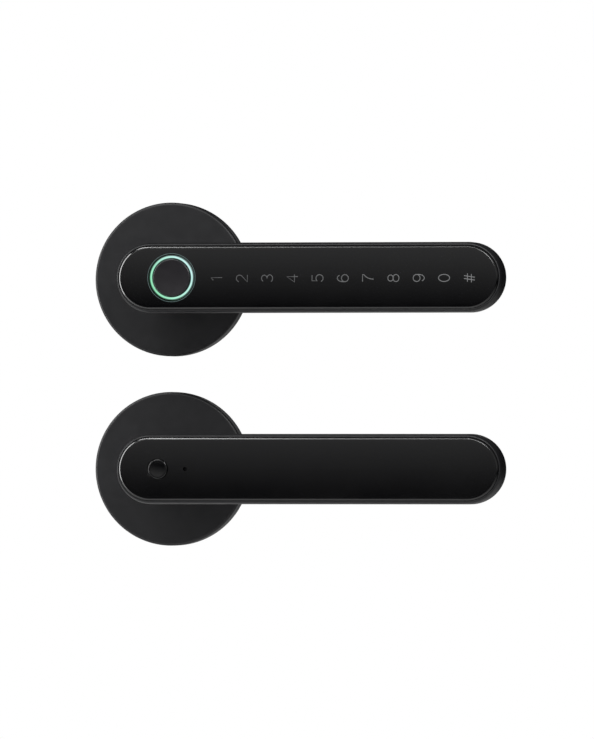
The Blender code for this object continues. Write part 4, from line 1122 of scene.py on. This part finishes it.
class LOCK_OT_switch_board(bpy.types.Operator):
    """Make the small board under the button: switches, chips and the cable's connector"""
    bl_idname = "lock.switch_board"
    bl_label = "Switch board"

    def execute(self, context):
        board = Reach("switch_board", "inner")
        radius = board.height
        section = [(0, board.front), (radius, board.front), (radius, board.back), (0, board.back)]
        work = pull(turn(section, OVAL), board.right - radius)
        chips = []
        for x, y, long, wide, tall in ((8.6, 5.4, 2.6, 2.6, 0.7), (8.6, -5.6, 1.6, 0.8, 0.45),
                                       (11.2, -5.6, 1.6, 0.8, 0.45), (12.4, 6.0, 1.6, 0.8, 0.45),
                                       (-2.6, 6.6, 1.6, 0.8, 0.45), (-2.6, -6.6, 2.0, 1.2, 0.55)):
            chips.append(soften(slab((x - long / 2) / 1000, (x + long / 2) / 1000, (y - wide / 2) / 1000,
                                     (y + wide / 2) / 1000, board.front - 0.0001, board.front + tall / 1000),
                                0.00006, 1))
        piece("button_board", combine(work, *chips), "inner", "inner_lever", ["circuit_board", "component"],
              ["switch_board"], lambda spot: 1 if spot.z > board.front + MERGE else 0)
        for node, name in (("privacy_switch", "button_switch"), ("reset_switch", "pin_switch")):
            self.switch(node, name)
        self.connector()
        return {"FINISHED"}

    def switch(self, node, name):
        """A tactile switch: a square body under a plated lid, and its round key."""
        case = Reach(node, "inner")
        body_front = case.front - 0.0007
        body = soften(slab(case.left, case.right, case.bottom, case.top, case.back, body_front), 0.0003, 2)
        lid = soften(slab(case.left + 0.0003, case.right - 0.0003, case.bottom + 0.0003, case.top - 0.0003,
                          body_front - 0.0001, body_front + 0.0002), 0.0001, 1)
        key = move(soften(turn([(0, case.front), (case.radius * 0.5, case.front),
                                (case.radius * 0.5, body_front), (0, body_front)], SMALL), 0.0001, 2),
                   (case.x, 0, 0))
        edge = case.radius - 0.0002

        def paint(spot):
            if math.hypot(spot.x - case.x, spot.y) < case.radius * 0.51 and spot.z > body_front + 0.00021:
                return 0
            flat = max(abs(spot.x - case.x), abs(spot.y)) < edge and spot.z > body_front - 0.00012
            return 1 if flat else 0

        piece(name, combine(body, lid, key), "inner", "inner_lever", ["black_abs", "nickel"],
              [node], paint)

    def connector(self):
        """The cable's connector: an open ivory box with a row of pins."""
        box = Reach("inner_cable_connector", "inner")
        wall = 0.0006
        work = soften(slab(box.left, box.right, box.bottom, box.top, box.back, box.front), 0.0002, 2)
        work = carve(work, slab(box.left + wall, box.right - wall, box.bottom + wall, box.top - wall,
                                box.back + 0.0012, box.front + 0.001))
        pins = [slab(box.x - 0.0002, box.x + 0.0002, box.y + 0.0012 * row - 0.0002,
                     box.y + 0.0012 * row + 0.0002, box.back + 0.0008, box.front - 0.0004)
                for row in range(-2, 3)]
        piece("cable_socket", combine(work, *pins), "inner", "inner_lever", ["ivory", "gold"],
              ["inner_cable_connector"],
              lambda spot: 1 if abs(spot.x - box.x) < 0.0003 and spot.z > box.back + 0.00125
              and abs(spot.y - box.y) < 0.0028 else 0)


class LOCK_OT_stage(bpy.types.Operator):
    """Set the camera, the pale floor and the soft studio lights"""
    bl_idname = "lock.stage"
    bl_label = "Camera, floor and lights"

    def execute(self, context):
        self.camera(context)
        self.world(context)
        self.floor(context)
        self.light("overhead strip", (-0.2, -0.40, 0.93), (0.9, 0.12), 5.5)
        self.light("left strip", (-0.36, -0.122, 0.04), (0.10, 0.56), 2.2)
        self.light("front key", (-0.33, -0.98, 0.60), (0.5, 0.5), 2.7)
        self.light("right fill", (0.20, -0.30, 0.14), (0.12, 0.12), 0.7)
        self.light("back glow", (0.06, 0.30, -0.04), (0.14, 0.28), 0.035)
        scene = context.scene
        scene.view_settings.view_transform = "Standard"
        return {"FINISHED"}

    def camera(self, context):
        """A long lens, a little to the right of the lock and a little under it."""
        data = bpy.data.cameras.new("camera")
        data.lens = 570
        data.sensor_width = 36
        data.clip_end = 20
        camera = bpy.data.objects.new("camera", data)
        across, down = math.radians(9.45), math.radians(0.38)
        away = Vector((math.sin(across) * math.cos(down), -math.cos(across) * math.cos(down),
                       -math.sin(down)))
        target = Vector((0.05915, -0.0350, -0.0389))
        camera.location = target + away * 4.987
        camera.rotation_euler = (-away).to_track_quat("-Z", "Y").to_euler()
        context.scene.collection.objects.link(camera)
        context.scene.camera = camera

    def world(self, context):
        """White where it is seen; as light, a room that brightens upward and fades toward the back."""
        world = bpy.data.worlds.new("studio")
        context.scene.world = world
        world.use_nodes = True
        tree = world.node_tree
        tree.nodes.clear()
        way = add(tree, "ShaderNodeTexCoord").outputs["Generated"]
        rise = add(tree, "ShaderNodeVectorMath", {0: way, 1: (0.15, -0.2, 1.0)}, operation="DOT_PRODUCT")
        front = add(tree, "ShaderNodeMapRange", {"Value": rise.outputs["Value"], "From Min": 0.07,
                                                 "From Max": 0.31, "To Min": 0.0, "To Max": 0.48})
        behind = add(tree, "ShaderNodeVectorMath", {0: way, 1: (0.0, 1.0, 0.0)}, operation="DOT_PRODUCT")
        ahead = add(tree, "ShaderNodeMapRange", {"Value": behind.outputs["Value"], "From Min": -0.6,
                                                 "From Max": 0.1, "To Min": 1.0, "To Max": 0.12})
        dimmed = add(tree, "ShaderNodeMath", {0: front.outputs[0], 1: ahead.outputs[0]}, operation="MULTIPLY")
        room = add(tree, "ShaderNodeBackground", {"Color": WHITE, "Strength": dimmed.outputs[0]})
        white = add(tree, "ShaderNodeBackground", {"Color": WHITE, "Strength": 1.0})
        seen = add(tree, "ShaderNodeLightPath").outputs["Is Camera Ray"]
        mixed = add(tree, "ShaderNodeMixShader", {0: seen, 1: room.outputs[0], 2: white.outputs[0]})
        add(tree, "ShaderNodeOutputWorld", {"Surface": mixed.outputs[0]})

    def floor(self, context):
        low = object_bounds()[0]
        floor_paint(FLOOR_REACH)
        work = bmesh.new()
        bmesh.ops.create_circle(work, cap_ends=True, segments=FINE, radius=FLOOR_REACH)
        floor = bpy.data.objects.new("floor", to_mesh(work, "floor"))
        floor.data.transform(Matrix.Translation((0, 0, low.z - FLOOR_DROP)))
        floor.data.materials.append(LOOKS["floor"])
        context.scene.collection.objects.link(floor)
        floor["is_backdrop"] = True

    def light(self, name, place, size, power):
        data = bpy.data.lights.new(name, "AREA")
        data.shape = "RECTANGLE"
        data.size, data.size_y = size
        data.energy = power
        lamp = bpy.data.objects.new(name, data)
        lamp.location = place
        lamp.rotation_euler = (Vector(LAMP_TARGET) - Vector(place)).to_track_quat("-Z", "Y").to_euler()
        lamp.visible_camera = False
        bpy.context.scene.collection.objects.link(lamp)


BUILDERS = (LOCK_OT_finishes, LOCK_OT_rose_covers, LOCK_OT_mounting_plates, LOCK_OT_lever_shells,
            LOCK_OT_necks, LOCK_OT_touch_window, LOCK_OT_digits, LOCK_OT_reader, LOCK_OT_battery_lid,
            LOCK_OT_buttons, LOCK_OT_fixings, LOCK_OT_drive, LOCK_OT_port, LOCK_OT_battery_bay,
            LOCK_OT_switch_board, LOCK_OT_stage)


class LOCK_PT_panel(bpy.types.Panel):
    """Lists the lock's pieces and its settings"""
    bl_idname = "LOCK_PT_panel"
    bl_label = "Keypad lever lock"
    bl_space_type = "VIEW_3D"
    bl_region_type = "UI"
    bl_category = "Lock"

    def draw(self, context):
        for builder in BUILDERS:
            self.layout.operator(builder.bl_idname)
        for group in (context.scene.lock_sizes, context.scene.lock_colours):
            for name in group.__annotations__:
                self.layout.prop(group, name)


CLASSES = (LockSizes, LockColours, *BUILDERS, LOCK_PT_panel)


def register():
    for each in CLASSES:
        bpy.utils.register_class(each)
    bpy.types.Scene.lock_sizes = PointerProperty(type=LockSizes)
    bpy.types.Scene.lock_colours = PointerProperty(type=LockColours)


def unregister():
    del bpy.types.Scene.lock_colours
    del bpy.types.Scene.lock_sizes
    for each in reversed(CLASSES):
        bpy.utils.unregister_class(each)


def main():
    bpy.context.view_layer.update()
    register()
    bpy.ops.lock.finishes()
    bpy.ops.lock.rose_covers()
    bpy.ops.lock.mounting_plates()
    bpy.ops.lock.lever_shells()
    bpy.ops.lock.necks()
    bpy.ops.lock.touch_window()
    bpy.ops.lock.digits()
    bpy.ops.lock.reader()
    bpy.ops.lock.battery_lid()
    bpy.ops.lock.buttons()
    bpy.ops.lock.fixings()
    bpy.ops.lock.drive()
    bpy.ops.lock.port()
    bpy.ops.lock.battery_bay()
    bpy.ops.lock.switch_board()
    bpy.ops.lock.stage()


if __name__ == "__main__":
    main()
